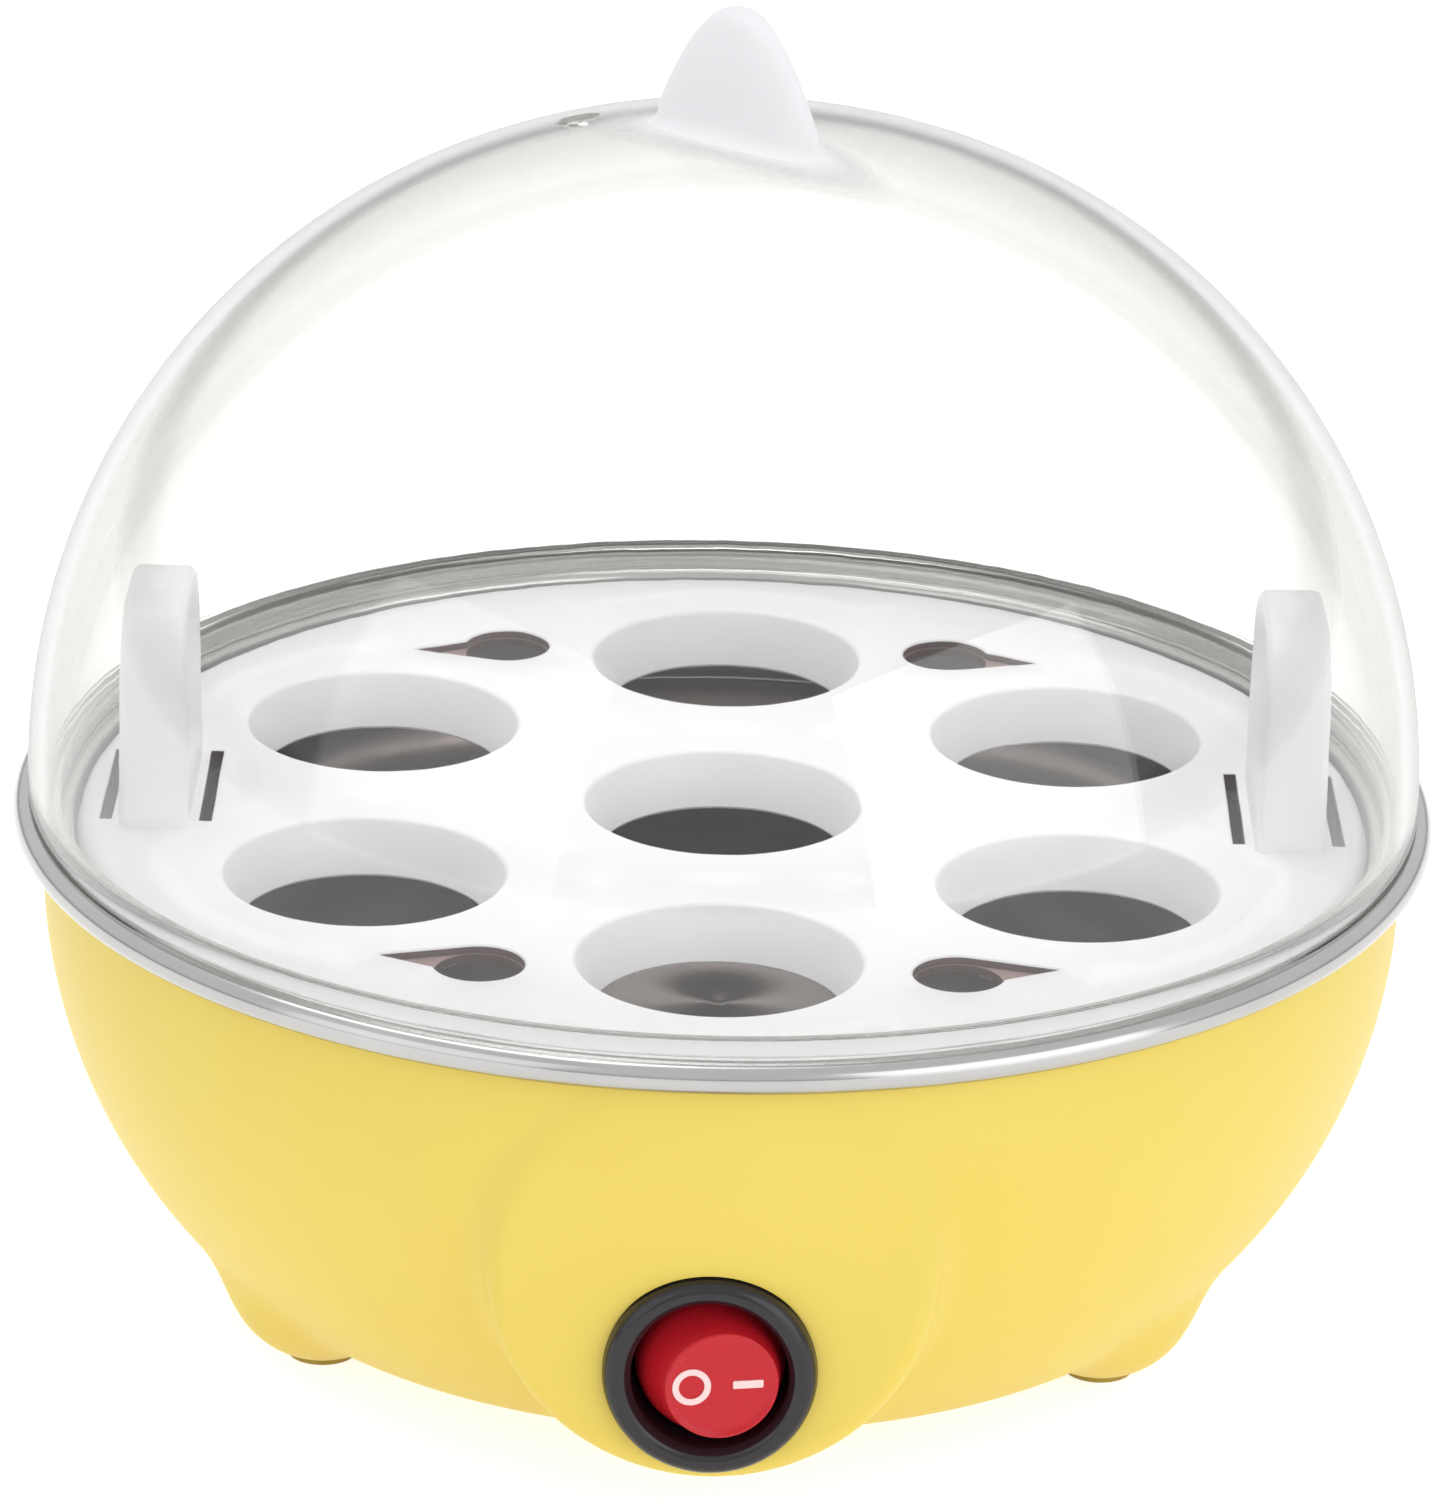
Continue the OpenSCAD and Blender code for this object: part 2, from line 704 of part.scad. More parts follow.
module switch_housing() {
    color("#2b2930") on_panel(switch_pivot_y) difference() {
        union() {
            translate([0, 0, pivot_depth]) bezel();
            translate([0, 0, barrel_back]) cylinder(r = barrel_r, h = barrel_l);
            // snap barbs behind the panel
            for (s = [-1, 1]) intersection() {
                translate([0, 0, pivot_depth - body_wall - 4.2]) cylinder(r1 = barrel_r, r2 = barrel_r + 0.9, h = 4);
                translate([s * barrel_r, 0, 0]) cube([6, 5, 40], center = true);
            }
        }
        translate([0, 0, barrel_floor]) cylinder(r = rocker_hole_r, h = far);
        rotate([90, 0, 0]) cylinder(r = trunnion_r + fit, h = 3 * barrel_r, center = true);
        for (x = [-terminal_x, 0, terminal_x]) translate([x, 0, barrel_back])
            cube([terminal_t + 2 * slip, terminal_w + 2 * slip, 5], center = true);
    }
}

module rocker_button() {
    rim = sqrt(pow(rocker_ball_r, 2) - 16);
    color("#d42838") on_panel(switch_pivot_y) rotate([0, rocker_tilt, 0]) difference() {
        union() {
            difference() {
                union() {
                    intersection() {
                        sphere(rocker_ball_r);
                        translate([0, 0, rocker_cut]) cylinder(r = far, h = 4 - rocker_cut);
                    }
                    translate([0, 0, 4 - eps]) cylinder(r1 = rim, r2 = rocker_face_r, h = rocker_top - 4 + eps);
                }
                // hollow from below
                intersection() {
                    sphere(rocker_ball_r - 1.3);
                    translate([0, 0, -far]) cylinder(r = far, h = far + 4.6);
                }
            }
            // guide for the plunger
            translate([0, 0, -6]) cylinder(r = plunger_r + 1, h = 11);
            rotate([90, 0, 0]) for (s = [-1, 1])
                translate([0, 0, s * (rocker_ball_r + 0.4)]) cylinder(r = trunnion_r, h = 2.2, center = true);
        }
        translate([0, 0, -far]) cylinder(r = plunger_r + slip, h = far + 1);
    }
}

module switch_plunger() {
    color("#e6e2d8") on_panel(switch_pivot_y) rotate([0, rocker_tilt, 0]) {
        translate([0, 0, plunger_tip + plunger_r]) {
            sphere(plunger_r);
            cylinder(r = plunger_r, h = 0.8 - plunger_tip - plunger_r);
        }
    }
}

module contact_plate() {
    color("#c98b4a") on_panel(switch_pivot_y) translate([0, 0, plate_z]) rotate([0, -plate_tilt, 0]) difference() {
        union() {
            cube([2 * terminal_x + 2 * terminal_t, plate_w, plate_t], center = true);
            // knuckle that rocks in the middle terminal's cradle
            rotate([90, 0, 0]) cylinder(r = knuckle_r, h = terminal_w, center = true);
        }
        translate([-far / 2, -far / 2, plate_t / 2]) cube(far);
    }
}

module switch_terminals() {
    tail = barrel_back - terminal_l;
    color("#d7c08a") on_panel(switch_pivot_y) {
        for (x = [-terminal_x, terminal_x])
            translate([x - terminal_t / 2, -terminal_w / 2, tail]) cube([terminal_t, terminal_w, contact_z - tail]);
        difference() {
            translate([-terminal_t / 2, -terminal_w / 2, tail]) cube([terminal_t, terminal_w, plate_z - tail]);
            translate([0, 0, plate_z]) rotate([90, 0, 0]) cylinder(r = knuckle_r + fit, h = 2 * terminal_w, center = true);
        }
    }
}

module neon_lamp() {
    color("#f08a4a") on_panel(switch_pivot_y) translate([0, 5, barrel_floor + lamp_r + 0.05]) rotate([0, 90, 0]) {
        cylinder(r = lamp_r, h = lamp_l - 2 * lamp_r, center = true);
        for (s = [-1, 1]) translate([0, 0, s * (lamp_l / 2 - lamp_r)]) sphere(lamp_r);
    }
}

// ---------- terminal block and cord inlet ----------

module terminal_block() {
    color("#e8e6de") difference() {
        translate([-block[0] / 2, block_y - block[1] / 2, base_top_z]) cube(block);
        for (s = [-1, 1]) translate([s * bore_x, block_y, 0]) {
            translate([0, 0, bore_z]) rotate([90, 0, 0]) cylinder(r = bore_r, h = far, center = true);
            for (e = [-1, 1]) translate([0, e * block_screw_y, bore_z]) cylinder(r = block_screw_r + slip, h = far);
        }
    }
}

module block_screws() {
    color("#b9bcc0") for (s = [-1, 1], e = [-1, 1])
        translate([s * bore_x, block_y + e * block_screw_y, bore_z + bore_r]) difference() {
            cylinder(r = block_screw_r, h = block[2] - 4.5 - bore_r + 0.4);
            translate([0, 0, block[2] - 4.5 - bore_r + 0.4]) cube([0.5, 3, 1], center = true);
        }
}

module cord_gland() {
    color("#2b2930") translate([0, inlet_face_y, inlet_z]) difference() {
        union() {
            rotate([-90, 0, 0]) cylinder(r1 = inlet_flange_r, r2 = inlet_flange_r - 1, h = flange_h);
            translate([-neck_w / 2, -neck_l, -neck_w / 2]) cube([neck_w, neck_l, neck_w]);
        }
        rotate([90, 0, 0]) cylinder(r = inlet_bore_r, h = far, center = true);
    }
}

// push-on plate that holds the gland from inside
module gland_nut() {
    color("#3a3840") translate([0, inlet_face_y - body_wall - nut_t, inlet_z]) difference() {
        rotate([-90, 0, 0]) cylinder(r = inlet_flange_r - 0.4, h = nut_t);
        cube([neck_w + 2 * slip, 3 * nut_t, neck_w + 2 * slip], center = true);
    }
}

// ---------- wires ----------

// smooth curve through the points of a route, n steps a span
function blend(p0, p1, p2, p3, t) =
    0.5 * (2 * p1 + (p2 - p0) * t + (2 * p0 - 5 * p1 + 4 * p2 - p3) * t * t + (3 * p1 - p0 - 3 * p2 + p3) * t * t * t);
function smooth(route, n) = let (last = len(route) - 1) concat(
    [for (i = [0 : last - 1], k = [0 : n - 1])
        blend(route[max(i - 1, 0)], route[i], route[i + 1], route[min(i + 2, last)], k / n)],
    [route[last]]);
function unit(v) = v / norm(v);
function along(path, i) = unit(path[min(i + 1, len(path) - 1)] - path[max(i - 1, 0)]);

// round wire swept along a route, whose first and last spans stay straight
module wire(route, n = 3, sides = 8) {
    last = len(route) - 1;
    path = concat([route[0]], smooth([for (i = [1 : last - 1]) route[i]], n), [route[last]]);
    rings = len(path);
    points = [for (i = [0 : rings - 1])
        let (t = along(path, i),
             side = unit(cross(t, abs(t[2]) < 0.9 ? [0, 0, 1] : [1, 0, 0])),
             up = cross(side, t))
        for (k = [0 : sides - 1]) path[i] + wire_r * (cos(360 * k / sides) * side + sin(360 * k / sides) * up)];
    polyhedron(points, concat(
        [[for (k = [0 : sides - 1]) k]],
        [for (i = [0 : rings - 2], k = [0 : sides - 1]) let (a = i * sides, b = (k + 1) % sides)
            [a + k, a + sides + k, a + sides + b, a + b]],
        [[for (k = [sides - 1 : -1 : 0]) (rings - 1) * sides + k]]));
}

blade_y = -(switch_pivot_y + barrel_back - terminal_l) + slip;
tab_z = stat_under_z - 5;
stat_end_x = stat_tab_x + tab_t / 2 + slip;
pin_end_y = pin_y - tab_t / 2 - slip;
pin_tab_z = tube_leg_z - pin_l - pin_tab_l + 2;
run_out = 2;        // straight length of a wire at its end
lead_x = fuse_lead_l / 2 + slip;
live_route = [[0, blade_y, switch_z], [0, blade_y + run_out, switch_z], [-6, -44.6, 17], [-12, -42, 12],
              [-30, -31, 10], [-40, -6, 10], [-26, 8, 9], [-20, 20, 8.2], [-9, 20.5, 8.4],
              [-bore_x, 24.5, bore_z], [-bore_x, block_y - block_screw_y, bore_z]];
switched_route = [[-terminal_x, blade_y, switch_z], [-terminal_x, blade_y + run_out, switch_z], [-14, -42, 17],
                  [-24, -26, 12], [-20, -6, tab_z], [-12, 0, tab_z],
                  [-stat_end_x - run_out, 0, tab_z], [-stat_end_x, 0, tab_z]];
fuse_in_route = [[stat_end_x, 0, tab_z], [stat_end_x + run_out, 0, tab_z], [12, 3, 14], [14, 10, 20],
                 [lead_x + run_out, fuse_y, fuse_z], [lead_x, fuse_y, fuse_z]];
fuse_out_route = [[-lead_x, fuse_y, fuse_z], [-lead_x - run_out, fuse_y, fuse_z], [-13, 17, 19],
                  [-pin_x, pin_end_y - run_out, pin_tab_z], [-pin_x, pin_end_y, pin_tab_z]];
neutral_route = [[pin_x, pin_end_y, pin_tab_z], [pin_x, pin_end_y - run_out, pin_tab_z], [8.5, 18, 10],
                 [bore_x, 23, bore_z], [bore_x, block_y - block_screw_y, bore_z]];
lamp_route = [[terminal_x, blade_y, switch_z], [terminal_x, blade_y + run_out, switch_z], [17, -42, 18],
              [38, -32, 13], [50, -4, 14], [45, 28, 13], [26, 43, 12], [8, 46, 11], [bore_x, 41, bore_z],
              [bore_x, block_y + block_screw_y, bore_z]];

module live_wire() { color("#7a4a2c") wire(live_route); }
module switched_wire() { color("#c23a2c") wire(switched_route); }
module fuse_wire() { color("#c23a2c") { wire(fuse_in_route); wire(fuse_out_route); } }
module neutral_wire() { color("#3560a8") wire(neutral_route); }
module lamp_wire() { color("#3560a8") wire(lamp_route); }

dome_cover();
egg_tray();
water_pan();
rim_seal();
body_shell();
base_cover();
base_screws();
rubber_feet();
pan_standoffs();
heater_plate();
heater_tube();
heater_pins();
thermostat();
thermostat_tabs();
thermostat_flange();
thermostat_screws();
thermal_fuse();
fuse_sleeve();
fuse_clip();
switch_housing();
rocker_button();
switch_plunger();
contact_plate();
switch_terminals();
neon_lamp();
terminal_block();
block_screws();
cord_gland();
gland_nut();
live_wire();
switched_wire();
fuse_wire();
neutral_wire();
lamp_wire();
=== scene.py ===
"""Steam egg cooker for seven eggs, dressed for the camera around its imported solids.

Metres, +Z up, the rocker switch faces -Y. Sizes in the sections are millimetres, times MM where a mesh is made.
"""
import math

import bmesh
import bpy
import numpy as np
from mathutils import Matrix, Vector, geometry


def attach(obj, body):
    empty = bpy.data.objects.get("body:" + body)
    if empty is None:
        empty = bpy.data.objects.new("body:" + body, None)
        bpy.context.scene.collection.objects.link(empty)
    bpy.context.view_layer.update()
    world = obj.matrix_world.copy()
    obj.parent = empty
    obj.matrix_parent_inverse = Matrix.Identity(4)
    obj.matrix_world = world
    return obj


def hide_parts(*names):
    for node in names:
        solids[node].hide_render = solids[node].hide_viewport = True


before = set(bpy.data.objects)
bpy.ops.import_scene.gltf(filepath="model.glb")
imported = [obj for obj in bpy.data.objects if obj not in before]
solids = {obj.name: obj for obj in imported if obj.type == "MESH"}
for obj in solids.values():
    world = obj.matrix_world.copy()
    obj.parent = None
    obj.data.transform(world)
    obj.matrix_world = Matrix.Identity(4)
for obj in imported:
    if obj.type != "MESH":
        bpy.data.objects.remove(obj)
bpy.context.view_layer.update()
MM = 0.001


# ---------------------------------------------------------------- shell
# One injection moulding in satin yellow ABS: a bowl with a round blister for the switch at the front, three
# half-round feet, a pad for the cord at the rear, and an even wall. The forms run into each other with soft
# fillets, because a mould maker breaks every inner corner.

def linear(code):
    """Linear RGBA of an sRGB colour written as a hex code."""
    srgb = np.array([int(code[i:i + 2], 16) for i in (1, 3, 5)]) / 255
    rgb = np.where(srgb <= 0.04045, srgb / 12.92, ((srgb + 0.055) / 1.055) ** 2.4)
    return (*rgb.tolist(), 1.0)


def add(tree, kind, inputs=None, **settings):
    """Adds a node with its settings; an input is a value, or another node's output to link."""
    node = tree.nodes.new(kind)
    for name, value in settings.items():
        setattr(node, name, value)
    for name, value in (inputs or {}).items():
        if isinstance(value, bpy.types.NodeSocket):
            tree.links.new(value, node.inputs[name])
        else:
            node.inputs[name].default_value = value
    return node


def material(name, **shader):
    """A new material and its Principled shader, with the shader's sockets set by name."""
    made = bpy.data.materials.new(name)
    made.use_nodes = True
    made.node_tree.nodes.clear()
    surface = add(made.node_tree, "ShaderNodeBsdfPrincipled", shader)
    add(made.node_tree, "ShaderNodeOutputMaterial", {"Surface": surface.outputs["BSDF"]})
    return made, made.node_tree, surface


def noise(tree, at, size_mm, detail=3.0):
    """Noise at a position, with forms of about size_mm."""
    made = add(tree, "ShaderNodeTexNoise", {"Vector": at, "Scale": 1 / (size_mm * MM), "Detail": detail})
    return made.outputs["Fac"]


def mixed(tree, share, first, second):
    """The colour a share of the way from first to second, each a hex code or another node's output."""
    first, second = (linear(c) if isinstance(c, str) else c for c in (first, second))
    return add(tree, "ShaderNodeMix", {"Factor": share, 6: first, 7: second}, data_type="RGBA").outputs[2]


def ranged(tree, value, low, high, start=0.0, stop=1.0, **settings):
    """A value carried from the span start to stop onto the span low to high, and held at its ends."""
    return add(tree, "ShaderNodeMapRange", {"Value": value, "From Min": start, "From Max": stop, "To Min": low,
                                            "To Max": high}, **settings).outputs["Result"]


def bumped(tree, surface, height, lift_mm, strength=1.0):
    """Lifts a shader's surface by up to lift_mm where height is 1."""
    bump = add(tree, "ShaderNodeBump", {"Height": height, "Distance": lift_mm * MM, "Strength": strength})
    tree.links.new(bump.outputs["Normal"], surface.inputs["Normal"])


def grained(name, codes, rough, grain_mm, height_mm, mottle_mm=18.0, stretch=(1, 1, 1), **shader):
    """A material whose colour drifts between two hex codes over mottle_mm, with a grain of grain_mm that
    lifts the surface by height_mm and roughness that wanders by a fifth."""
    made, tree, surface = material(name, **shader)
    at = add(tree, "ShaderNodeMapping", {"Vector": add(tree, "ShaderNodeTexCoord").outputs["Object"],
                                         "Scale": stretch}).outputs["Vector"]
    tree.links.new(mixed(tree, noise(tree, at, mottle_mm), *codes), surface.inputs["Base Color"])
    grain = noise(tree, at, grain_mm, 4.0)
    tree.links.new(ranged(tree, grain, rough * 0.8, rough * 1.2), surface.inputs["Roughness"])
    bumped(tree, surface, grain, height_mm)
    return made


def outward(points, faces):
    """The faces, all turned round if the closed surface's signed volume comes out negative."""
    a, b = points[faces[:, 0]], points[faces[:, 1]]
    c, d = points[faces[:, 2]], points[faces[:, -1]]
    volume = np.einsum("ij,ij->", a, np.cross(b, c)) + np.einsum("ij,ij->", a, np.cross(c, d))
    return faces if volume > 0 else faces[:, ::-1]


def strip(count, cols, ring=False):
    """Four-sided faces of count rows of cols points, where columns close round, and rows too if ring is set."""
    r, c = np.arange(count if ring else count - 1)[:, None], np.arange(cols)[None, :]
    after, beside = (r + 1) % count, (c + 1) % cols
    return np.stack([r * cols + c, r * cols + beside, after * cols + beside, after * cols + c], -1).reshape(-1, 4)


def skin(rows, ring=False):
    """Closed surface from an array of rows x columns x 3, where columns close round. Rows close round too
    if ring is set; otherwise the first and last rows are poles and shrink to their middles."""
    count, cols = rows.shape[:2]
    points, quads = rows.reshape(-1, 3), strip(count, cols, ring)
    if ring:
        return points, outward(points, quads)
    points = np.vstack([points, rows[0].mean(0), rows[-1].mean(0)])
    c = np.arange(cols)
    beside, first = (c + 1) % cols, np.full_like(c, count * cols)
    caps = np.vstack([np.stack([first, first, beside, c], -1),
                      np.stack([first + 1, first + 1, (count - 1) * cols + c, (count - 1) * cols + beside], -1)])
    return points, outward(points, np.vstack([quads, caps]))


def mesh_piece(name, parts, finish, sharp=35.0, weld=False):
    """An object at the origin from (points in mm, faces) parts, smooth but for edges over sharp degrees. Weld
    joins points that meet, and turns the faces of the closed result outward."""
    points, faces, start = [], [], 0
    for part_points, part_faces in parts:
        points.append(part_points)
        faces += [list(dict.fromkeys(face)) for face in (part_faces + start).tolist()]
        start += len(part_points)
    mesh = bpy.data.meshes.new(name)
    mesh.from_pydata((np.vstack(points) * MM).tolist(), [], faces)
    mesh.validate()
    if weld:
        joined = bmesh.new()
        joined.from_mesh(mesh)
        bmesh.ops.remove_doubles(joined, verts=joined.verts, dist=0.002 * MM)
        bmesh.ops.dissolve_degenerate(joined, edges=joined.edges, dist=0.0005 * MM)
        bmesh.ops.recalc_face_normals(joined, faces=joined.faces)
        joined.to_mesh(mesh)
        joined.free()
    mesh.shade_smooth()
    mesh.set_sharp_from_angle(angle=math.radians(sharp))
    mesh.materials.append(finish)
    made = bpy.data.objects.new(name, mesh)
    bpy.context.scene.collection.objects.link(made)
    return made


def carve(piece, parts, sharp=35.0):
    """Cuts closed (points, faces) parts out of a piece and keeps the result as its mesh."""
    cutter = mesh_piece("cutter", parts, piece.data.materials[0])
    cut = piece.modifiers.new("cut", "BOOLEAN")
    cut.operation, cut.object, cut.solver = "DIFFERENCE", cutter, "MANIFOLD"
    ready = bpy.data.meshes.new_from_object(piece.evaluated_get(bpy.context.evaluated_depsgraph_get()))
    piece.modifiers.clear()
    bpy.data.objects.remove(cutter)
    piece.data = ready
    ready.shade_smooth()
    ready.set_sharp_from_angle(angle=math.radians(sharp))


def dress(piece, body, slot, *replaced):
    """Rides a piece on a body and lets it stand for the solids named; slot is not used."""
    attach(piece, body)
    if replaced:
        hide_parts(*replaced)


def soft_min(a, b, reach):
    """The smaller of two distances, rounded off where they are within reach of each other."""
    near = np.maximum(reach - np.abs(a - b), 0) / reach
    return np.minimum(a, b) - near * near * reach / 4


def turned(profile, count=192, place=None):
    """A profile of (radius, height) points turned once about +Z, then moved by place; a profile that starts
    and ends on the axis closes there, and any other is a ring."""
    angle = np.linspace(0, 2 * np.pi, count, endpoint=False)
    profile = np.asarray(profile, float)
    rows = np.stack([profile[:, :1] * np.cos(angle), profile[:, :1] * np.sin(angle),
                     np.broadcast_to(profile[:, 1:], (len(profile), count))], -1)
    if profile[0, 0] < 1e-6 and profile[-1, 0] < 1e-6:
        points, faces = skin(rows[1:-1])
        points[-2], points[-1] = (0, 0, profile[0, 1]), (0, 0, profile[-1, 1])
    else:
        points, faces = skin(rows, ring=True)
    return (points if place is None else place(points)), outward(points, faces)


shell_top, shell_wall = 56.6, 2.2
bowl_arc, bowl_arc_r = (16.6, 51.0), 60.0
corner_arc, corner_r = (49.45, 16.0), 12.0
under_z = 4.0
blister_z, blister_r, blister_y, blister_edge = 32.4, 24.3, 73.8, 2.4
switch_z, barrel_hole_r, ring_seat_r = 21.4, 10.05, 11.72
foot_ring, foot_r, foot_cut = 50.5, 11.0, 1.0
inlet_z, inlet_r, inlet_y, gland_hole = 17.0, 10.8, 71.4, 9.6
drum_blend, foot_blend, stub_blend = 3.5, 3.0, 2.5
opening_r, seat_r, seat_top, ring_top = 48.2, 44.4, 6.0, 8.2
foot_angles = np.radians([210, 330, 90])
shell_cols, upper_rows, lower_rows, inner_rows = 600, 62, 83, 34


def shell_distance(x, y, z):
    """Signed distance to the shell's outside: the bowl (a big arc, a corner arc and a flat underside, turned
    about Z), joined softly to a rounded drum at the front, three balls for feet and a stub at the rear."""
    r = np.hypot(x, y)
    side = np.hypot(r - bowl_arc[0], z - bowl_arc[1]) - bowl_arc_r
    corner = np.hypot(r - corner_arc[0], z - corner_arc[1]) - corner_r
    below = ((r - bowl_arc[0]) * (corner_arc[1] - bowl_arc[1])
             - (z - bowl_arc[1]) * (corner_arc[0] - bowl_arc[0])) > 0
    bowl = np.where(below, np.where(r > corner_arc[0], corner, under_z - z), side)
    across = np.hypot(x, z - blister_z) - (blister_r - blister_edge)
    out = -y - (blister_y - blister_edge)
    drum = (np.hypot(np.maximum(across, 0), np.maximum(out, 0))
            + np.minimum(np.maximum(across, out), 0) - blister_edge)
    far = 100.0
    shape = soft_min(bowl, np.where(y < 0, drum, far), drum_blend)
    for angle in foot_angles:
        ball = np.sqrt((x - foot_ring * np.cos(angle)) ** 2 + (y - foot_ring * np.sin(angle)) ** 2
                       + (z - foot_r) ** 2) - foot_r
        shape = soft_min(shape, ball, foot_blend)
    stub = np.maximum(np.hypot(x, z - inlet_z) - inlet_r, y - inlet_y)
    return soft_min(shape, np.where(y > 0, stub, far), stub_blend)


def solve(inside, outside, distance):
    """Where distance changes sign between two arrays, by halving the span 40 times."""
    for _ in range(40):
        middle = (inside + outside) / 2
        within = distance(middle) < 0
        inside, outside = np.where(within, middle, inside), np.where(within, outside, middle)
    return (inside + outside) / 2


def reached(rows, nearest, distance):
    """Lengths where distance changes sign, for rows of the shell's columns, sought from nearest to 110 mm."""
    return solve(np.full((rows, shell_cols), nearest), np.full((rows, shell_cols), 110.0), distance)


def crowded(centres, widths, weights, count):
    """Angles round the axis, count of them, spaced closer by weights within widths of the centres, with soft
    changes of about a fortieth of a radian."""
    turn = np.linspace(-np.pi, np.pi, 7201)
    density = np.ones_like(turn)
    for centre, width, weight in zip(centres, widths, weights):
        apart = np.abs((turn - centre + np.pi) % (2 * np.pi) - np.pi)
        density += weight / (1 + np.exp((apart - width) * 40))
    total = np.concatenate([[0], np.cumsum((density[1:] + density[:-1]) / 2)])
    return np.interp(np.arange(count) / count * total[-1], total, turn)


# The columns crowd at the blister, the inlet and the two front feet. Above hub_z the rows are level; below it they
# fan out from the axis down to the opening's edge, over the corner and the feet.
angle = crowded(np.radians([-90, 90, -150, -30]), [0.42, 0.22, 0.24, 0.24], [3.2, 2.5, 1.6, 1.6], shell_cols)
cos_a, sin_a = np.cos(angle), np.sin(angle)
hub_z = 30.0
upper_z = np.linspace(shell_top, hub_z, upper_rows)[:, None]
upper_r = reached(upper_rows, 40.0, lambda r: shell_distance(r * cos_a, r * sin_a, upper_z))
edge_z = solve(np.full(shell_cols, 12.0), np.full(shell_cols, 0.0),
               lambda z: np.maximum(shell_distance(opening_r * cos_a, opening_r * sin_a, z), foot_cut - z))
dip = np.linspace(0, 1, lower_rows + 1)[1:, None] * np.arctan2(hub_z - edge_z, opening_r)
lower = reached(lower_rows, 40.0, lambda s: np.maximum(
    shell_distance(s * np.cos(dip) * cos_a, s * np.cos(dip) * sin_a, hub_z - s * np.sin(dip)),
    foot_cut - hub_z + s * np.sin(dip)))
inner_z = np.linspace(ring_top, shell_top, inner_rows)[:, None]
inner_r = reached(inner_rows, 30.0, lambda r: shell_distance(r * cos_a, r * sin_a, inner_z) + shell_wall)
ledge_r = np.array([opening_r, seat_r, seat_r])[:, None]
ledge_z = np.array([seat_top, seat_top, ring_top])[:, None]
flat_row = np.ones(shell_cols)
radius = np.vstack([upper_r, lower * np.cos(dip), ledge_r * flat_row, inner_r])
height = np.vstack([upper_z * flat_row, hub_z - lower * np.sin(dip), ledge_z * flat_row, inner_z * flat_row])
shell_rows = np.stack([radius * cos_a, radius * sin_a, height], -1)

# Satin ABS: an eggy yellow with a faint mottle, a fine spark-eroded grain and a soft sheen.
yellow_abs = grained("satin_yellow_abs", ("#E8CD55", "#EBD35F"), 0.42, 0.6, 0.004, 30.0, IOR=1.53)


def to_panel(y):
    """A mover from a frame whose +Z points out of the front panel to the object's, at the switch's height."""
    return lambda p: np.stack([p[:, 0], -y - p[:, 2], p[:, 1] + switch_z], -1)


def box(low, high):
    """Closed box between two corners."""
    corners = np.array([[x, y, z] for z in (0, 1) for y in (0, 1) for x in (0, 1)], float)
    points = np.asarray(low) + corners * (np.asarray(high, float) - np.asarray(low))
    faces = np.array([[0, 2, 3, 1], [4, 5, 7, 6], [0, 1, 5, 4], [2, 6, 7, 3], [0, 4, 6, 2], [1, 3, 7, 5]])
    return points, outward(points, faces)


# Two cuts go through the wall: the switch's round hole with a seat for its ring, and the cord gland's square hole.
shell = mesh_piece("shell", [skin(shell_rows, ring=True)], yellow_abs)
carve(shell, [turned([(0, -14), (barrel_hole_r, -14), (barrel_hole_r, 0), (ring_seat_r, 0), (ring_seat_r, 6),
                      (0, 6)], 96, to_panel(blister_y)),
              box((-gland_hole / 2, 62, inlet_z - gland_hole / 2), (gland_hole / 2, 80, inlet_z + gland_hole / 2))])
dress(shell, "base", "yellow_shell", "body_shell")


# ---------------------------------------------------------------- base cover, its screws and the rubber pads
# The cover is a matt moulding in the shell's colour, screwed up into brass standoffs under the pan through its
# own three posts. The pads are soft gum rubber, pushed into the feet by their stems.

# Matt ABS from the same batch as the shell, unpolished, so it scatters light and shows a coarse grain.
matt_abs = grained("matt_yellow_abs", ("#E4C75C", "#E8CE68"), 0.62, 0.9, 0.010, 25.0, IOR=1.53)

# Zinc-plated steel screws: a cool bright metal with faint plating clouds.
zinc = grained("zinc_plated_steel", ("#B4B7BA", "#C6C8CA"), 0.34, 0.5, 0.002, 3.0, Metallic=1.0)

# Natural gum rubber: a dull amber with a bloom that pales it in patches.
pad_rubber = grained("gum_rubber", ("#A08A3C", "#B39C4A"), 0.75, 0.5, 0.012, 3.0, IOR=1.52)

# A pad's disc is 4 mm in radius with a soft lower edge, and its stem is 2.2 mm.
pad_profile = [(0, 0), (3.5, 0), (3.85, 0.12), (4, 0.45), (4, 1.0), (2.2, 1.0), (2.2, 3.1), (0, 3.2)]
foot_pads = [turned(pad_profile, 48, lambda p, a=a: p + (foot_ring * np.cos(a), foot_ring * np.sin(a), 0))
             for a in foot_angles]
dress(mesh_piece("foot_pads", foot_pads, pad_rubber), "base", "foot_rubber", "rubber_feet")


# ---------------------------------------------------------------- water pan
# Deep drawn from 0.6 mm stainless sheet in one stroke: a round bowl for the water, a ledge for the tray, a
# short straight wall, a flat flange for the cover, and a rolled bead that hides the sheet's cut edge.

def sheet(path, thickness):
    """A closed outline of a sheet whose middle follows a path: the path moved half the thickness to each
    side along its normals, and joined at the ends."""
    path = np.asarray(path, float)
    along = np.gradient(path, axis=0)
    along /= np.linalg.norm(along, axis=1, keepdims=True)
    side = np.stack([-along[:, 1], along[:, 0]], 1) * thickness / 2
    return np.vstack([path + side, (path - side)[::-1]])


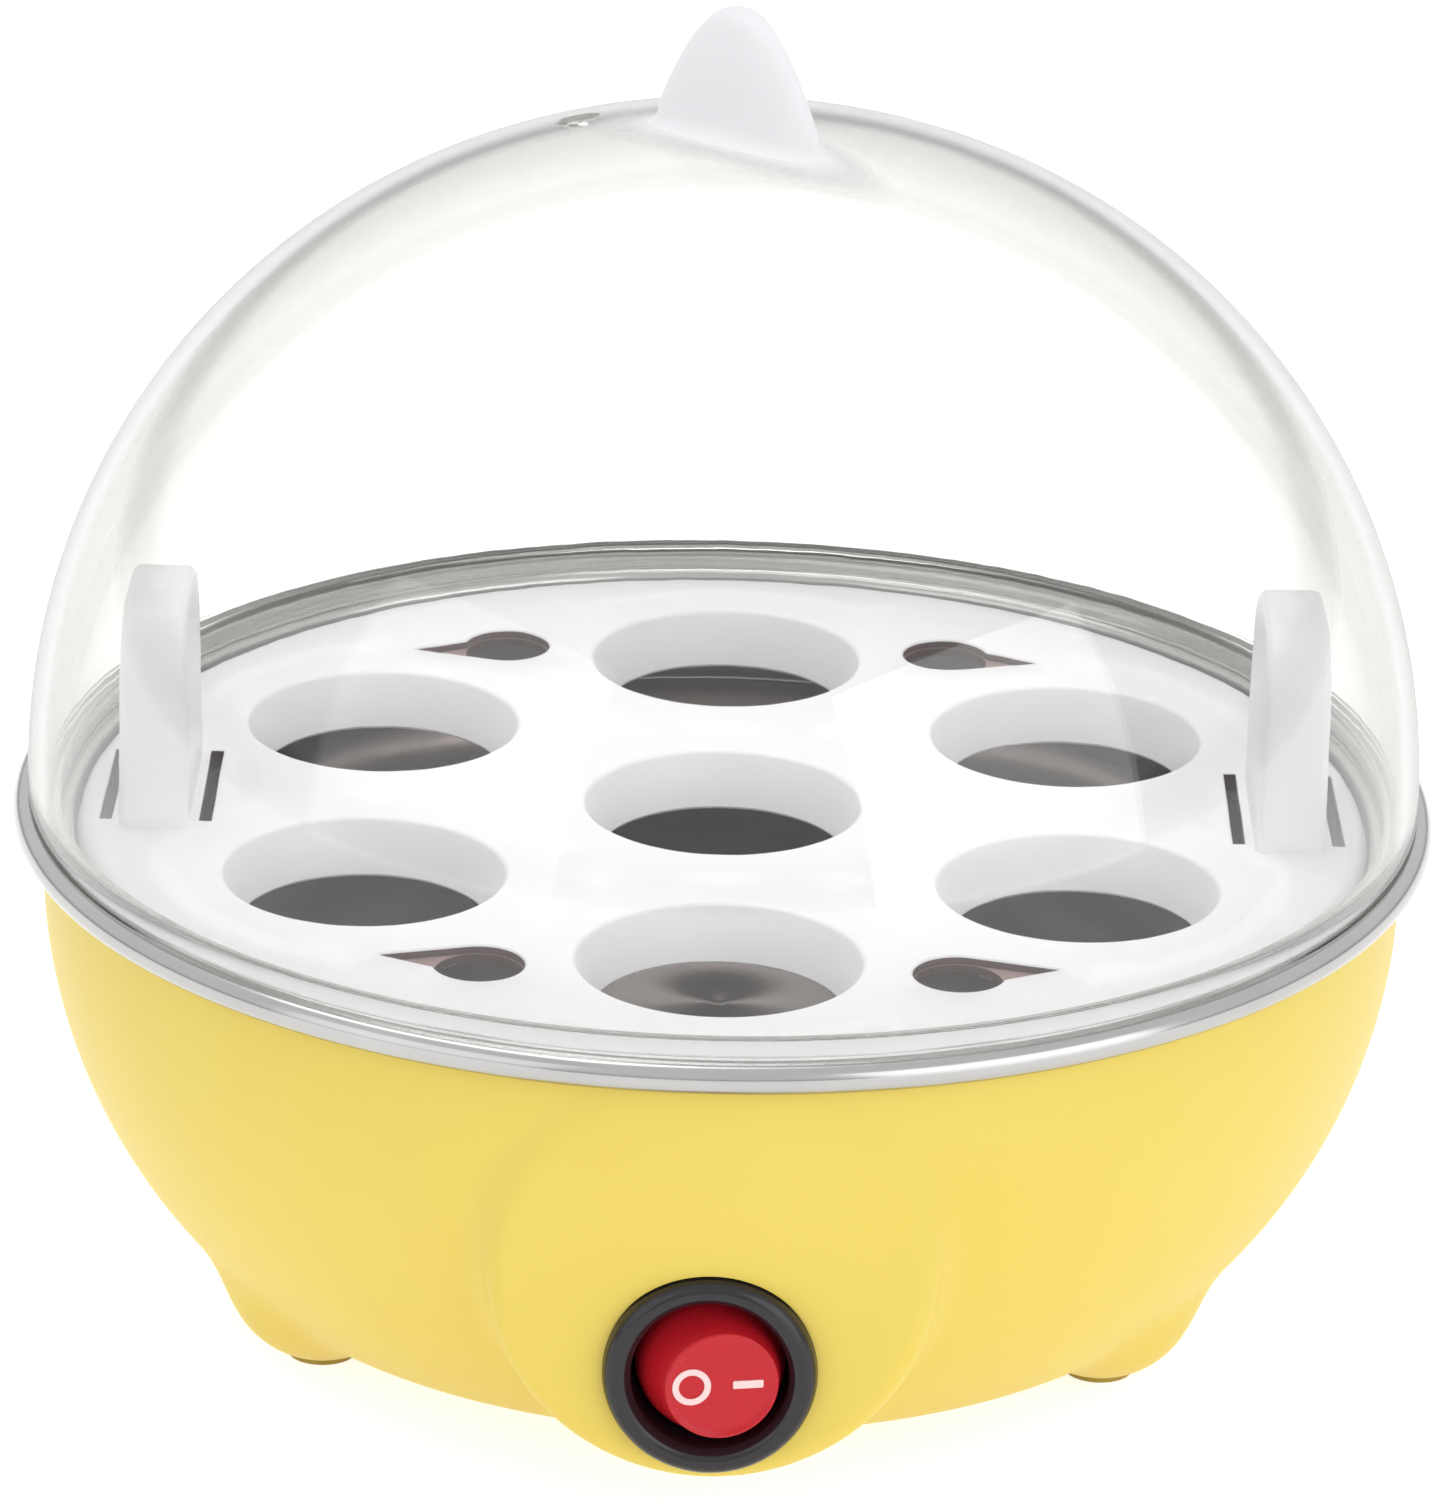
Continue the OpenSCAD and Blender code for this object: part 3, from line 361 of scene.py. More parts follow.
def bend(centre, radius, start, end, count):
    """Points on an arc, from one angle in degrees to another."""
    turn = np.radians(np.linspace(start, end, count))
    return np.stack([centre[0] + radius * np.cos(turn), centre[1] + radius * np.sin(turn)], 1)


sheet_t = 0.6
bead_centre, bead_r = (78.2, 57.8), 1.8
flange_z, pan_r, pan_ledge, pan_floor = 57.9, 73.6, 46.7, 32.7
bowl_side, bowl_side_r = (54.7, 47.0), 14.3
pan_path = np.vstack([
    bend(bead_centre, bead_r - sheet_t / 2, -130, 176, 40),
    bend((76.55, flange_z + 0.28), 0.28, 350, 270, 4),
    bend((pan_r + 0.75, flange_z - 0.75), 0.75, 90, 180, 8),
    [(pan_r, 52.0)],
    bend((pan_r - 0.8, pan_ledge + 0.8), 0.8, 0, -90, 8),
    bend((69.4, pan_ledge - 0.7), 0.7, 90, 178, 8),
    bend(bowl_side, bowl_side_r, -3, -90, 30),
    [(40, pan_floor), (20, pan_floor), (1.0, pan_floor)]])
upper_face, lower_face = np.split(sheet(pan_path, sheet_t), 2)
pan_outline = np.vstack([[(0, pan_floor + sheet_t / 2)], upper_face[::-1], lower_face[::-1],
                         [(0, pan_floor - sheet_t / 2)]])

# Drawn stainless steel, polished on a lathe: mirror-like with hair-fine lines that run round it. In the bowl, below
# the ledge, it is painted a darker brown as shade under the tray.
steel, tree, surface = material("polished_stainless_steel", Metallic=1.0)
at = add(tree, "ShaderNodeTexCoord").outputs["Object"]
split = add(tree, "ShaderNodeSeparateXYZ", {"Vector": at})
flat = add(tree, "ShaderNodeCombineXYZ", {"X": split.outputs["X"], "Y": split.outputs["Y"]})
axis_r = add(tree, "ShaderNodeVectorMath", {0: flat.outputs["Vector"]}, operation="LENGTH")
lines_at = add(tree, "ShaderNodeCombineXYZ", {"X": axis_r.outputs["Value"], "Z": split.outputs["Z"]})
clouds = noise(tree, at, 14)
# Painted shade: the bowl turns darker brown below the ledge, where the tray shades it.
shade_under_tray = ranged(tree, split.outputs["Z"], 1.0, 0.0, 44 * MM, 51 * MM)
tree.links.new(mixed(tree, shade_under_tray, mixed(tree, clouds, "#ABAAAA", "#BDBDBC"), "#877E7B"),
               surface.inputs["Base Color"])
tree.links.new(ranged(tree, clouds, 0.14, 0.24), surface.inputs["Roughness"])
bumped(tree, surface, noise(tree, lines_at.outputs["Vector"], 0.25), 0.0015)

pan = mesh_piece("pan", [turned(pan_outline, 288)], steel, sharp=50)
dress(pan, "base", "steel_pan", "water_pan")

# Grey silicone rubber: the flat seal under the pan's flange.
silicone = grained("grey_silicone", ("#9A9A98", "#A6A6A4"), 0.6, 0.4, 0.004, 8.0, IOR=1.41)


# ---------------------------------------------------------------- egg tray
# One moulding in white polypropylene that lifts out by its two handles: seven tapered seats with short collars,
# four drop-shaped steam vents that start in a shallow tail, a rounded edge and a skirt that stands on the ledge.

def ring_loop(centre, radius, count=96):
    """A circle's points and outward normals."""
    turn = np.linspace(0, 2 * np.pi, count, endpoint=False)
    normal = np.stack([np.cos(turn), np.sin(turn)], 1)
    return np.asarray(centre) + radius * normal, normal


def outline_loop(corners):
    """A closed outline's points and its outward normals, for an outline that runs anticlockwise."""
    corners = np.asarray(corners, float)
    along = np.roll(corners, -1, 0) - corners
    out = np.stack([along[:, 1], -along[:, 0]], 1) / np.linalg.norm(along, axis=1, keepdims=True)
    normal = out + np.roll(out, 1, 0)
    return corners, 2 * normal / (normal ** 2).sum(1, keepdims=True)


def moved(loop, offset):
    """A loop moved out along its normals."""
    return loop[0] + loop[1] * offset


def band(loop, profile):
    """Rows of a loop carried along a profile of (offset, height) points, as an open strip."""
    rows = np.stack([np.column_stack([moved(loop, offset), np.full(len(loop[0]), height)])
                     for offset, height in profile])
    return rows.reshape(-1, 3), strip(*rows.shape[:2])


def inside(points, outline):
    """Which points lie inside an outline, by counting the edges that a line to the right of each crosses."""
    x, y = points[:, :1], points[:, 1:2]
    x0, y0 = outline[:, 0], outline[:, 1]
    x1, y1 = np.roll(x0, -1), np.roll(y0, -1)
    crosses = ((y0 > y) != (y1 > y)) & (x < (x1 - x0) * (y - y0) / np.where(y1 == y0, 1e-12, y1 - y0) + x0)
    return crosses.sum(1) % 2 == 1


def plate(outer, holes, height):
    """Flat face between an outer outline and its holes, as triangles that keep every outline's points."""
    loops = [outer] + holes
    points = np.vstack(loops)
    edges, start = [], 0
    for loop in loops:
        count = len(loop)
        edges += [(start + i, start + (i + 1) % count) for i in range(count)]
        start += count
    spots, _, triangles, *_ = geometry.delaunay_2d_cdt([Vector(p) for p in points], edges, [], 0, 1e-6)
    spots = np.array([tuple(p) for p in spots])
    triangles = np.array([t for t in triangles if len(t) == 3])
    middles = spots[triangles].mean(1)
    keep = inside(middles, outer)
    for hole in holes:
        keep &= ~inside(middles, hole)
    return np.column_stack([spots, np.full(len(spots), height)]), triangles[keep]


tray_z, tray_r, tray_t = 57.8, 72.9, 2.0
mouth_r, mouth_lip, collar_low, collar_foot_r = 15.5, 0.7, -6.5, 17.4
edge_w, edge_h, skirt_t, skirt_low, skirt_round = 1.9, 2.0, 2.0, -10.8, 0.3
seat_ring = 45.5
seat_places = [(0.0, 0.0)] + [(seat_ring * math.cos(math.radians(a)), seat_ring * math.sin(math.radians(a)))
                              for a in range(30, 390, 60)]
vent_r, vent_ring, vent_turn, tail_ring, tail_turn, tail_depth = 5.0, 54.6, 1.7, 59.4, 9.3, 1.1


def on_ring(radius, degrees):
    """The point of a circle about the axis at an angle."""
    return radius * np.array([math.cos(math.radians(degrees)), math.sin(math.radians(degrees))])


def drop_outline(mid, side):
    """A vent's middle and its outline, anticlockwise: a circle, and a tail that leaves it on a tangent at the
    inner side and meets it again 25 degrees round from the tail's direction at the outer side."""
    hole, tip = on_ring(vent_ring, mid + side * vent_turn), on_ring(tail_ring, mid - side * tail_turn)
    run = tip - hole
    length, heading = np.linalg.norm(run), math.atan2(run[1], run[0])
    tangent, blunt = math.acos(vent_r / length), math.radians(25)
    start, stop = (blunt, tangent) if side > 0 else (tangent, blunt)
    around = np.linspace(heading + start, heading + 2 * math.pi - stop, 49)
    circle = hole + vent_r * np.stack([np.cos(around), np.sin(around)], 1)
    end = tip - 0.5 * run / length
    steps = np.linspace(0.15, 0.85, 6)[:, None]
    return hole, np.vstack([circle, circle[-1] + (end - circle[-1]) * steps, [end], end + (circle[0] - end) * steps])


def rounded_edge(width, depth, count):
    """(offset, height) of a quarter ellipse that runs from flat down to upright."""
    return [(-width + width * math.sin(t), depth * (math.cos(t) - 1)) for t in np.linspace(0, np.pi / 2, count)]


# Each opening adds its walls to the parts, its top loop and under loop to the two plates' holes, and its outline to
# the cuts whose floors and walls take painted shade.
tray_parts, top_holes, under_holes, cuts = [], [], [], []
lip = [(mouth_r + mouth_lip - mouth_lip * math.sin(t), mouth_lip * (math.cos(t) - 1))
       for t in np.linspace(0, np.pi / 2 - 0.25, 7)]
collar = [(13.75, collar_low + 0.3), (13.95, collar_low), (15.15, collar_low), (15.35, collar_low + 0.3),
          (collar_foot_r - 0.4, -tray_t - 0.4), (collar_foot_r, -tray_t)]
for spot in seat_places:
    seat = ring_loop(spot, 0.0)
    tray_parts.append(band(seat, lip + collar))
    top_holes.append(moved(seat, mouth_r + mouth_lip))
    under_holes.append(moved(seat, collar_foot_r))
for mid, side in ((60, 1), (120, -1), (240, 1), (300, -1)):
    hole, drop_corners = drop_outline(mid, side)
    drop = outline_loop(drop_corners)
    cuts.append(moved(drop, 0.05))
    round_hole = ring_loop(hole, vent_r - 0.15, 64)
    tray_parts.append(band(drop, [(0.3, 0), (0.1, -0.1), (0, -0.3), (0, -tail_depth)]))
    tray_parts.append(plate(drop[0], [round_hole[0]], -tail_depth))
    tray_parts.append(band(round_hole, [(0, -tail_depth), (0, -tray_t)]))
    top_holes.append(moved(drop, 0.3))
    under_holes.append(round_hole[0])
handle_x, slot_x, slot_w, slot_low, slot_high = 63.5, 5.6, 1.4, -9.4, 12.0
slot_edge, slot_bow = 0.12, 0.01
for slot_mid in (-handle_x - slot_x, -handle_x + slot_x, handle_x - slot_x, handle_x + slot_x):
    left, right = slot_mid - slot_w / 2, slot_mid + slot_w / 2
    slot = outline_loop([(left, slot_low), (slot_mid, slot_low - slot_bow), (right, slot_low),
                         (right, slot_high), (slot_mid, slot_high + slot_bow), (left, slot_high)])
    cuts.append(moved(slot, 0.05))
    tray_parts.append(band(slot, [(slot_edge, 0), (0, -slot_edge), (0, -tray_t)]))
    top_holes.append(moved(slot, slot_edge))
    under_holes.append(slot[0])
rim = ring_loop((0, 0), tray_r, 288)
skirt = [(0, skirt_low + skirt_round), (-skirt_round, skirt_low), (-skirt_t + skirt_round, skirt_low),
         (-skirt_t, skirt_low + skirt_round), (-skirt_t, -tray_t)]
tray_parts.append(band(rim, rounded_edge(edge_w, edge_h, 10) + skirt))
tray_parts.append(plate(moved(rim, -edge_w), top_holes, 0.0))
tray_parts.append(plate(moved(rim, -skirt_t), under_holes, -tray_t))


def handle(sign):
    """A handle: its side outline (upright, then a round corner, then level) carried across the thickness with
    rounded edges, and both faces closed by rows that shrink to an upright line in the middle. It thins a little
    on its way up, so that it leaves its mould."""
    half_w, half_t, draft, tall, corner_r, rounding, low = 12.0, 3.9, 0.4, 25.0, 8.0, 0.9, -1.0
    upright = 12
    bend_turn = np.radians(np.linspace(0, 90, 14))
    round_corner = np.stack([np.cos(bend_turn), np.sin(bend_turn)], 1)
    right = np.vstack([np.column_stack([np.full(upright, half_w), np.linspace(low, tall - corner_r - 0.01, upright)]),
                       (half_w - corner_r, tall - corner_r) + corner_r * round_corner, [(2.0, tall), (0.0, tall)]])
    path = np.vstack([right, (right * (-1, 1))[::-1][1:]])
    normal = np.vstack([np.tile((1.0, 0.0), (upright, 1)), round_corner, [(0, 1), (0, 1)]])
    normal = np.vstack([normal, (normal * (-1, 1))[::-1][1:]])
    core = np.column_stack([np.zeros(len(path)), np.clip(path[:, 1], low, tall - half_w)])
    flat = path - normal * rounding
    rows = [(core + (flat - core) * out, 0.0) for out in (0.0, 0.4, 0.75)]
    rows += [(path - normal * rounding * (1 - math.sin(t)), rounding * (1 - math.cos(t)))
             for t in np.linspace(0, np.pi / 2, 6)]
    points = []
    for face in (-1, 1):
        for spots, drop in (rows if face < 0 else rows[::-1]):
            thick = half_t - draft * np.clip(spots[:, 1], 0, tall) / tall - drop
            points.append(np.column_stack([sign * handle_x + face * thick, spots[:, 0], spots[:, 1]]))
    points = np.stack(points)
    faces = strip(*points.shape[:2])
    return points.reshape(-1, 3), outward(points.reshape(-1, 3), faces)


handles = [handle(-1), handle(1)]

# White polypropylene with a cool cast: satin, slightly waxy, with the finest moulded grain.
white_pp = grained("white_polypropylene", ("#ECEBF1", "#F3F2F7"), 0.34, 0.5, 0.003, 26.0, IOR=1.49)
at_tray = np.array([0, 0, tray_z])
tray = mesh_piece("tray", [(points + at_tray, faces) for points, faces in tray_parts], white_pp, sharp=40, weld=True)
dress(tray, "tray", "white_tray", "egg_tray")

# Painted shade: the vents' sunk tail floors are a mid brown, and the walls of the vents and slots a deep brown.
tray.data.materials.append(grained("vent_floor_painted_shade_pp", ("#85706F", "#9A8382"), 0.55, 0.35, 0.02, 2.5, IOR=1.5))
tray.data.materials.append(grained("vent_wall_painted_shade_pp", ("#46302F", "#5A4241"), 0.6, 0.35, 0.03, 2.0,
                                   IOR=1.5))


def per_face(mesh, measure):
    """A vector of every face of a mesh."""
    values = np.empty(len(mesh.polygons) * 3)
    mesh.polygons.foreach_get(measure, values)
    return values.reshape(-1, 3)


face_mid, face_up = per_face(tray.data, "center") / MM, per_face(tray.data, "normal")[:, 2]
in_cut = np.logical_or.reduce([inside(face_mid[:, :2], cut) for cut in cuts])
in_wall = (face_mid[:, 2] < tray_z - 0.2) & (face_mid[:, 2] > tray_z - tray_t - 0.1)
# Faces inside the vents and slots take the painted shade: the floors the mid brown, the walls the deep brown.
tray.data.polygons.foreach_set(
    "material_index", np.where(in_cut & in_wall, np.where(face_up > 0.5, 1, 2), 0).astype(np.int32))
for name, (handle_points, handle_faces) in zip(("tray_handle_left", "tray_handle_right"), handles):
    dress(mesh_piece(name, [(handle_points + at_tray, handle_faces)], white_pp, sharp=50, weld=True),
          "tray", "white_tray")


# ---------------------------------------------------------------- dome cover
# Clear polystyrene blown up thin in one shot with its grip: a flat fin that grows out of the crown on a small
# fillet. A skirt inside the foot drops into the pan's mouth, and a round hole beside the fin lets the steam out.

tip_z, fin_l, fin_turn, fin_drop, fin_depth = 151.5, 23.0, math.radians(-37.0), 12.7, 14.7
fin_round, fin_flare, fin_fillet = 1.9, 0.9, 2.0
crown_z, crown_r, crown_join = 44.8, 92.0, 36.0
shoulder, shoulder_r, dome_wall = (4.3, 62.28), 74.0, 1.8
dome_cols = 288
dome_turn = np.linspace(0, 2 * np.pi, dome_cols, endpoint=False)
dome_cos, dome_sin = np.cos(dome_turn), np.sin(dome_turn)


def dome_height(r, inset):
    """Height of the dome's skin, moved in by inset, over a radius."""
    crown = crown_z + np.sqrt(np.maximum((crown_r - inset) ** 2 - r ** 2, 0))
    side = shoulder[1] + np.sqrt(np.maximum((shoulder_r - inset) ** 2 - (r - shoulder[0]) ** 2, 0))
    slope = (shoulder[1] - crown_z) / shoulder[0]
    return np.where(r * slope < crown - crown_z, crown, side)


def lens(long, thick):
    """A loop like the fin's section: blunt at its ends, nearly flat along its sides."""
    return (long * np.sign(dome_cos) * np.abs(dome_cos) ** 0.8,
            thick * np.sign(dome_sin) * np.abs(dome_sin) ** 0.9)


def fin_half(drop):
    """The fin's half length and half thickness at a depth under its tip: the length grows with the depth's root,
    and the thickness rounds off over the first fin_round and then widens evenly."""
    tip = min(drop, fin_round)
    thick = math.sqrt(max(fin_round ** 2 - (fin_round - tip) ** 2, 0))
    flare = fin_flare * (drop - tip) / (fin_depth - fin_round)
    return fin_l / 2 * math.sqrt(drop / fin_depth), thick + flare


def fin_row(drop, inset):
    """The fin's loop at a depth under its tip, moved in by inset, and by less where the fin is thin."""
    long, thick = fin_half(drop)
    x, y = lens(long - inset * min(1, long / 4), thick - inset * min(1, thick / 2))
    return np.stack([x, y, np.full(dome_cols, tip_z - drop - inset)], 1)


def circle_row(r, z):
    """A level circle of the dome's columns."""
    return np.stack([r * dome_cos, r * dome_sin, np.full(dome_cols, z)], 1)


def dome_side(inset):
    """Rows of one face of the dome, moved in by inset: the fin from its tip down, the fillet at its foot, the
    crown, where the loops turn from the fin's shape into circles, and the shoulder down to its foot."""
    rows = [fin_row(drop, inset) for drop in (0.03, 0.12, 0.3, 0.55, 0.9, 1.35, 1.9, 2.6, 3.5, 4.6, 6.0, 7.6, 9.4,
                                              11.2, fin_drop)]
    long, thick = fin_half(fin_drop)
    for out in np.linspace(0, 1, 8)[1:] ** 1.3:
        x, y = lens(long - inset + fin_fillet * out, thick - inset + fin_fillet * out)
        rise = fin_fillet * (1 - math.sqrt(1 - (1 - out) ** 2))
        rows.append(np.stack([x, y, dome_height(np.hypot(x, y), inset) + rise], 1))
    fillet_x, fillet_y = x, y
    for blend in np.linspace(0, 1, 15)[1:] ** 1.2:
        x = fillet_x * (1 - blend) + crown_join * dome_cos * blend
        y = fillet_y * (1 - blend) + crown_join * dome_sin * blend
        rows.append(np.stack([x, y, dome_height(np.hypot(x, y), inset)], 1))
    arc = shoulder_r - inset
    for lean in np.linspace(math.acos((crown_join - shoulder[0]) / arc), 0, 34)[1:]:
        rows.append(circle_row(shoulder[0] + arc * math.cos(lean), shoulder[1] + arc * math.sin(lean)))
    return rows


foot_z, skirt_z, skirt_r = 59.9, 58.2, 76.1
foot_profile = [(78.3, 60.6), (78.22, 60.2), (77.95, 59.95), (77.6, foot_z), (skirt_r + 0.3, foot_z),
                (skirt_r, foot_z - 0.2), (skirt_r, skirt_z + 0.3), (skirt_r - 0.3, skirt_z),
                (skirt_r - 1.1, skirt_z), (skirt_r - 1.4, skirt_z + 0.3), (skirt_r - 1.4, 61.0),
                (skirt_r - 1.2, 61.3), (76.2, 61.5), (76.5, 61.9)]
dome_rows = np.stack(dome_side(0.0) + [circle_row(r, z) for r, z in foot_profile] + dome_side(dome_wall)[::-1])
dome_x, dome_y, dome_z = np.moveaxis(dome_rows, -1, 0)
dome_skin = np.stack([dome_x * math.cos(fin_turn) - dome_y * math.sin(fin_turn),
                      dome_x * math.sin(fin_turn) + dome_y * math.cos(fin_turn), dome_z], -1)


def between(tree, share, first, second):
    """The shader a share of the way from first to second."""
    return add(tree, "ShaderNodeMixShader", {"Fac": share, 1: first, 2: second}).outputs["Shader"]


# Clear polystyrene: polished outside and in, so faintly rippled that only its highlights waver. It hazes where it is
# seen edge on, turns frosted and milky on the fin, and lets light through to the tray without a dark shadow. Away is
# 1 on an ellipse that hugs the fin's foot.
clear, tree, surface = material("clear_polystyrene", **{"Transmission Weight": 1.0, "IOR": 1.49})
surface.inputs["Base Color"].default_value = linear("#FBFBF9")
at = add(tree, "ShaderNodeTexCoord").outputs["Object"]
bumped(tree, surface, noise(tree, at, 9, 2.0), 0.02, 0.4)
fin_foot = add(tree, "ShaderNodeMapping", {"Vector": at, "Rotation": (0, 0, fin_turn),
                                           "Scale": (12.7 * MM, 4.7 * MM, 1e3)}, vector_type="TEXTURE")
away = add(tree, "ShaderNodeVectorMath", {"Vector": fin_foot.outputs["Vector"]}, operation="LENGTH").outputs["Value"]
tree.links.new(ranged(tree, away, 0.015, 0.3, 1.5, 0.9), surface.inputs["Roughness"])
edge_on = add(tree, "ShaderNodeLayerWeight", {"Blend": 0.35}).outputs["Facing"]
haze, milk = ranged(tree, edge_on, 0.0, 0.62, 0.3, 0.85), ranged(tree, away, 0.0, 0.92, 1.7, 0.9)
cloudy = add(tree, "ShaderNodeMath", {0: haze, 1: milk}, operation="MAXIMUM").outputs["Value"]
tone = mixed(tree, milk, "#C8C8C6", "#FBFAFD")
veil = between(tree, 0.8, add(tree, "ShaderNodeBsdfTranslucent", {"Color": tone}).outputs["BSDF"],
               add(tree, "ShaderNodeBsdfDiffuse", {"Color": tone}).outputs["BSDF"])
through = add(tree, "ShaderNodeBsdfTransparent", {"Color": linear("#F2F2F0")})
tree.links.new(between(tree, add(tree, "ShaderNodeLightPath").outputs["Is Shadow Ray"],
                       between(tree, cloudy, surface.outputs["BSDF"], veil), through.outputs["BSDF"]),
               tree.nodes["Material Output"].inputs["Surface"])

steam_hole_r, steam_hole_at = 2.2, (-17.6, 13.2, 0)
dome = mesh_piece("dome", [skin(dome_skin)], clear, sharp=50)
carve(dome, [turned([(0, 100), (steam_hole_r, 100), (steam_hole_r, 160), (0, 160)], 48,
                    lambda p: p + steam_hole_at)], sharp=50)
dress(dome, "cover", "clear_cover", "dome_cover")


# ---------------------------------------------------------------- switch housing
# Glossy black ABS: a fat rounded ring outside, a barrel with two snap barbs inside the shell, two bearings for
# the rocker's pins and three slots in the floor for the terminals.

pivot_y, ring_z = 69.5, 4.3
hole_r, barrel_r, barrel_back, barrel_floor, barb_rise = 8.5, 9.9, -12.7, -11.1, 0.8
housing_profile = np.vstack([
    [(0, barrel_floor), (hole_r - 0.4, barrel_floor), (hole_r, barrel_floor + 0.4), (hole_r, ring_z + 0.5)],
    bend((hole_r + 0.55, ring_z + 0.85), 0.55, 180, 138, 5),
    bend((9.98, ring_z + 0.72), 1.48, 128, 0, 18),
    [(11.46 + 0.12, ring_z + 0.35), (11.6, ring_z), (barrel_r, ring_z), (barrel_r, barrel_back + 0.4),
     (barrel_r - 0.4, barrel_back), (0, barrel_back)]])
panel = to_panel(pivot_y)


def barb(side):
    """A snap barb: a wedge that starts flush with the barrel and ends barb_rise proud, just behind the panel."""
    inner, outer = sorted((side * 9.0, side * barrel_r))
    points, faces = box((inner, -2.5, ring_z - 6.4), (outer, 2.5, -0.1))
    proud = (points[:, 2] > -1) & (np.abs(points[:, 0]) > 9.5)
    points[proud, 0] += side * barb_rise
    return panel(points), faces


def disc_y(radius, low, high, count=32):
    """A round bar along the switch's own Y, from low to high."""
    return turned([(0, low), (radius, low), (radius, high), (0, high)], count,
                  lambda p: np.stack([p[:, 1], p[:, 2], p[:, 0]], 1))


def re_faced(part):
    """The same part with its faces turned outward after a move."""
    return part[0], outward(part[0], part[1])


# Dyed black through and moulded in a polished tool: a mirror-like skin with barely any grain.
black_abs = grained("glossy_black_abs", ("#1E1C21", "#242228"), 0.2, 0.5, 0.0012, 12.0, IOR=1.46)
housing = mesh_piece("switch_ring", [turned(housing_profile, 128, panel)], black_abs, sharp=50)
bearing_r, terminal_x, terminal_t, terminal_w = 1.26, 5.6, 1.0, 5.0
bearing = disc_y(bearing_r, -14, 14)
carve(housing, [re_faced((panel(bearing[0]), bearing[1]))]
      + [box((x - terminal_t / 2, -pivot_y + 9.5, switch_z - terminal_w / 2),
             (x + terminal_t / 2, -pivot_y + 15, switch_z + terminal_w / 2))
         for x in (-terminal_x, 0.0, terminal_x)], sharp=50)
dress(housing, "base", "black_plastic", "switch_housing")
dress(mesh_piece("switch_barbs", [re_faced(barb(-1)), re_faced(barb(1))], black_abs, sharp=50),
      "base", "black_plastic")


# ---------------------------------------------------------------- rocker
# One moulding in see-through red polycarbonate that glows over the lamp: a ball that tilts on two pins, with a
# round, slightly dished face, a hollow underside, and a tube that holds the spring plunger.

tilt = math.radians(10.0)


def tilted(points):
    """From the rocker's own frame to the object's: leaned about its pins, then out of the panel."""
    x, y, z = points.T
    return panel(np.stack([x * math.cos(tilt) + z * math.sin(tilt), y,
                           z * math.cos(tilt) - x * math.sin(tilt)], 1))


face_r, face_z, ball_r = 6.3, 7.9, 8.2
rocker_profile = np.vstack([
    [(0, face_z - 0.3), (2.5, face_z - 0.3), (4.9, face_z - 0.27), (5.4, face_z - 0.24), (5.7, face_z - 0.1)],
    bend((face_r - 0.42, face_z - 0.3), 0.3, 110, 10, 7),
    [(6.86, 5.2), (7.158, 4.0)],
    [(math.sqrt(ball_r ** 2 - z * z), z) for z in np.linspace(3.4, -3.5, 14)],
    [(math.sqrt(6.9 ** 2 - z * z), z) for z in np.linspace(-3.5, 4.6, 12)],
    [(2.2, 4.6), (2.2, -6), (1.3, -6), (1.3, 1), (0, 1)]])
pins = [disc_y(1.2, 7.5, 9.7), disc_y(1.2, -9.7, -7.5)]

# Red polycarbonate with a soft gloss, and the marks' pad-printed ink, which takes a little of the red.
red_pc = grained("translucent_red_polycarbonate", ("#BE1824", "#CC202D"), 0.28, 0.4, 0.0015, 9.0, IOR=1.58,
                **{"Specular IOR Level": 0.25})
mark_ink = grained("pad_printed_white", ("#F4D2D2", "#F8DEDE"), 0.5, 0.2, 0.001, 3.0, IOR=1.5)
rocker = mesh_piece("rocker", [turned(rocker_profile, 128, tilted)]
                    + [re_faced((tilted(p), f)) for p, f in pins], red_pc, sharp=40)
dress(rocker, "rocker", "red_rocker", "rocker_button")


def mark(loop_out, loop_in, low, high):
    """A raised mark with a flat top: a band between two outlines, or a bar if there is no inner one."""
    mid = loop_out.mean(0)

    def level(loop, z, share=1.0):
        """The loop at a height, shrunk to a share of its size."""
        return np.column_stack([mid + (loop - mid) * share, np.full(len(loop), z)])
    if loop_in is None:
        rows = [level(loop_out, low, 0.999), level(loop_out, low), level(loop_out, high - 0.02),
                level(loop_out, high, 0.96), level(loop_out, high, 0.5)]
    else:
        rows = [level(loop_out, low), level(loop_out, high), level(loop_in, high), level(loop_in, low)]
    points, faces = skin(np.stack(rows), ring=loop_in is not None)
    return re_faced((tilted(points), faces))


# A ring for off, with a stroke of 0.7 mm, and a bar for on, 0.9 mm wide with rounded corners.
marks_low, marks_high = face_z - 0.45, face_z - 0.16
off_at, on_at, bar_round = (-3.3, 0.0), (2.85, 0.0), 0.15
off_mark = mark(ring_loop(off_at, 2.1, 64)[0], ring_loop(off_at, 1.4, 64)[0], marks_low, marks_high)
bar_corners = [(1.5, 0.3), (-1.5, 0.3), (-1.5, -0.3), (1.5, -0.3)]
bar = np.vstack([bend(spot, bar_round, start, start + 90, 5)
                 for spot, start in zip(bar_corners, (0, 90, 180, 270))]) + on_at
marks = mesh_piece("rocker_marks", [off_mark, mark(bar, None, marks_low, marks_high)], mark_ink, sharp=40)
dress(marks, "rocker", "red_rocker")


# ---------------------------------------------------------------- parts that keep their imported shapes
# Bought-in and small parts, mostly out of sight under the pan: each takes a finish made for what it is.

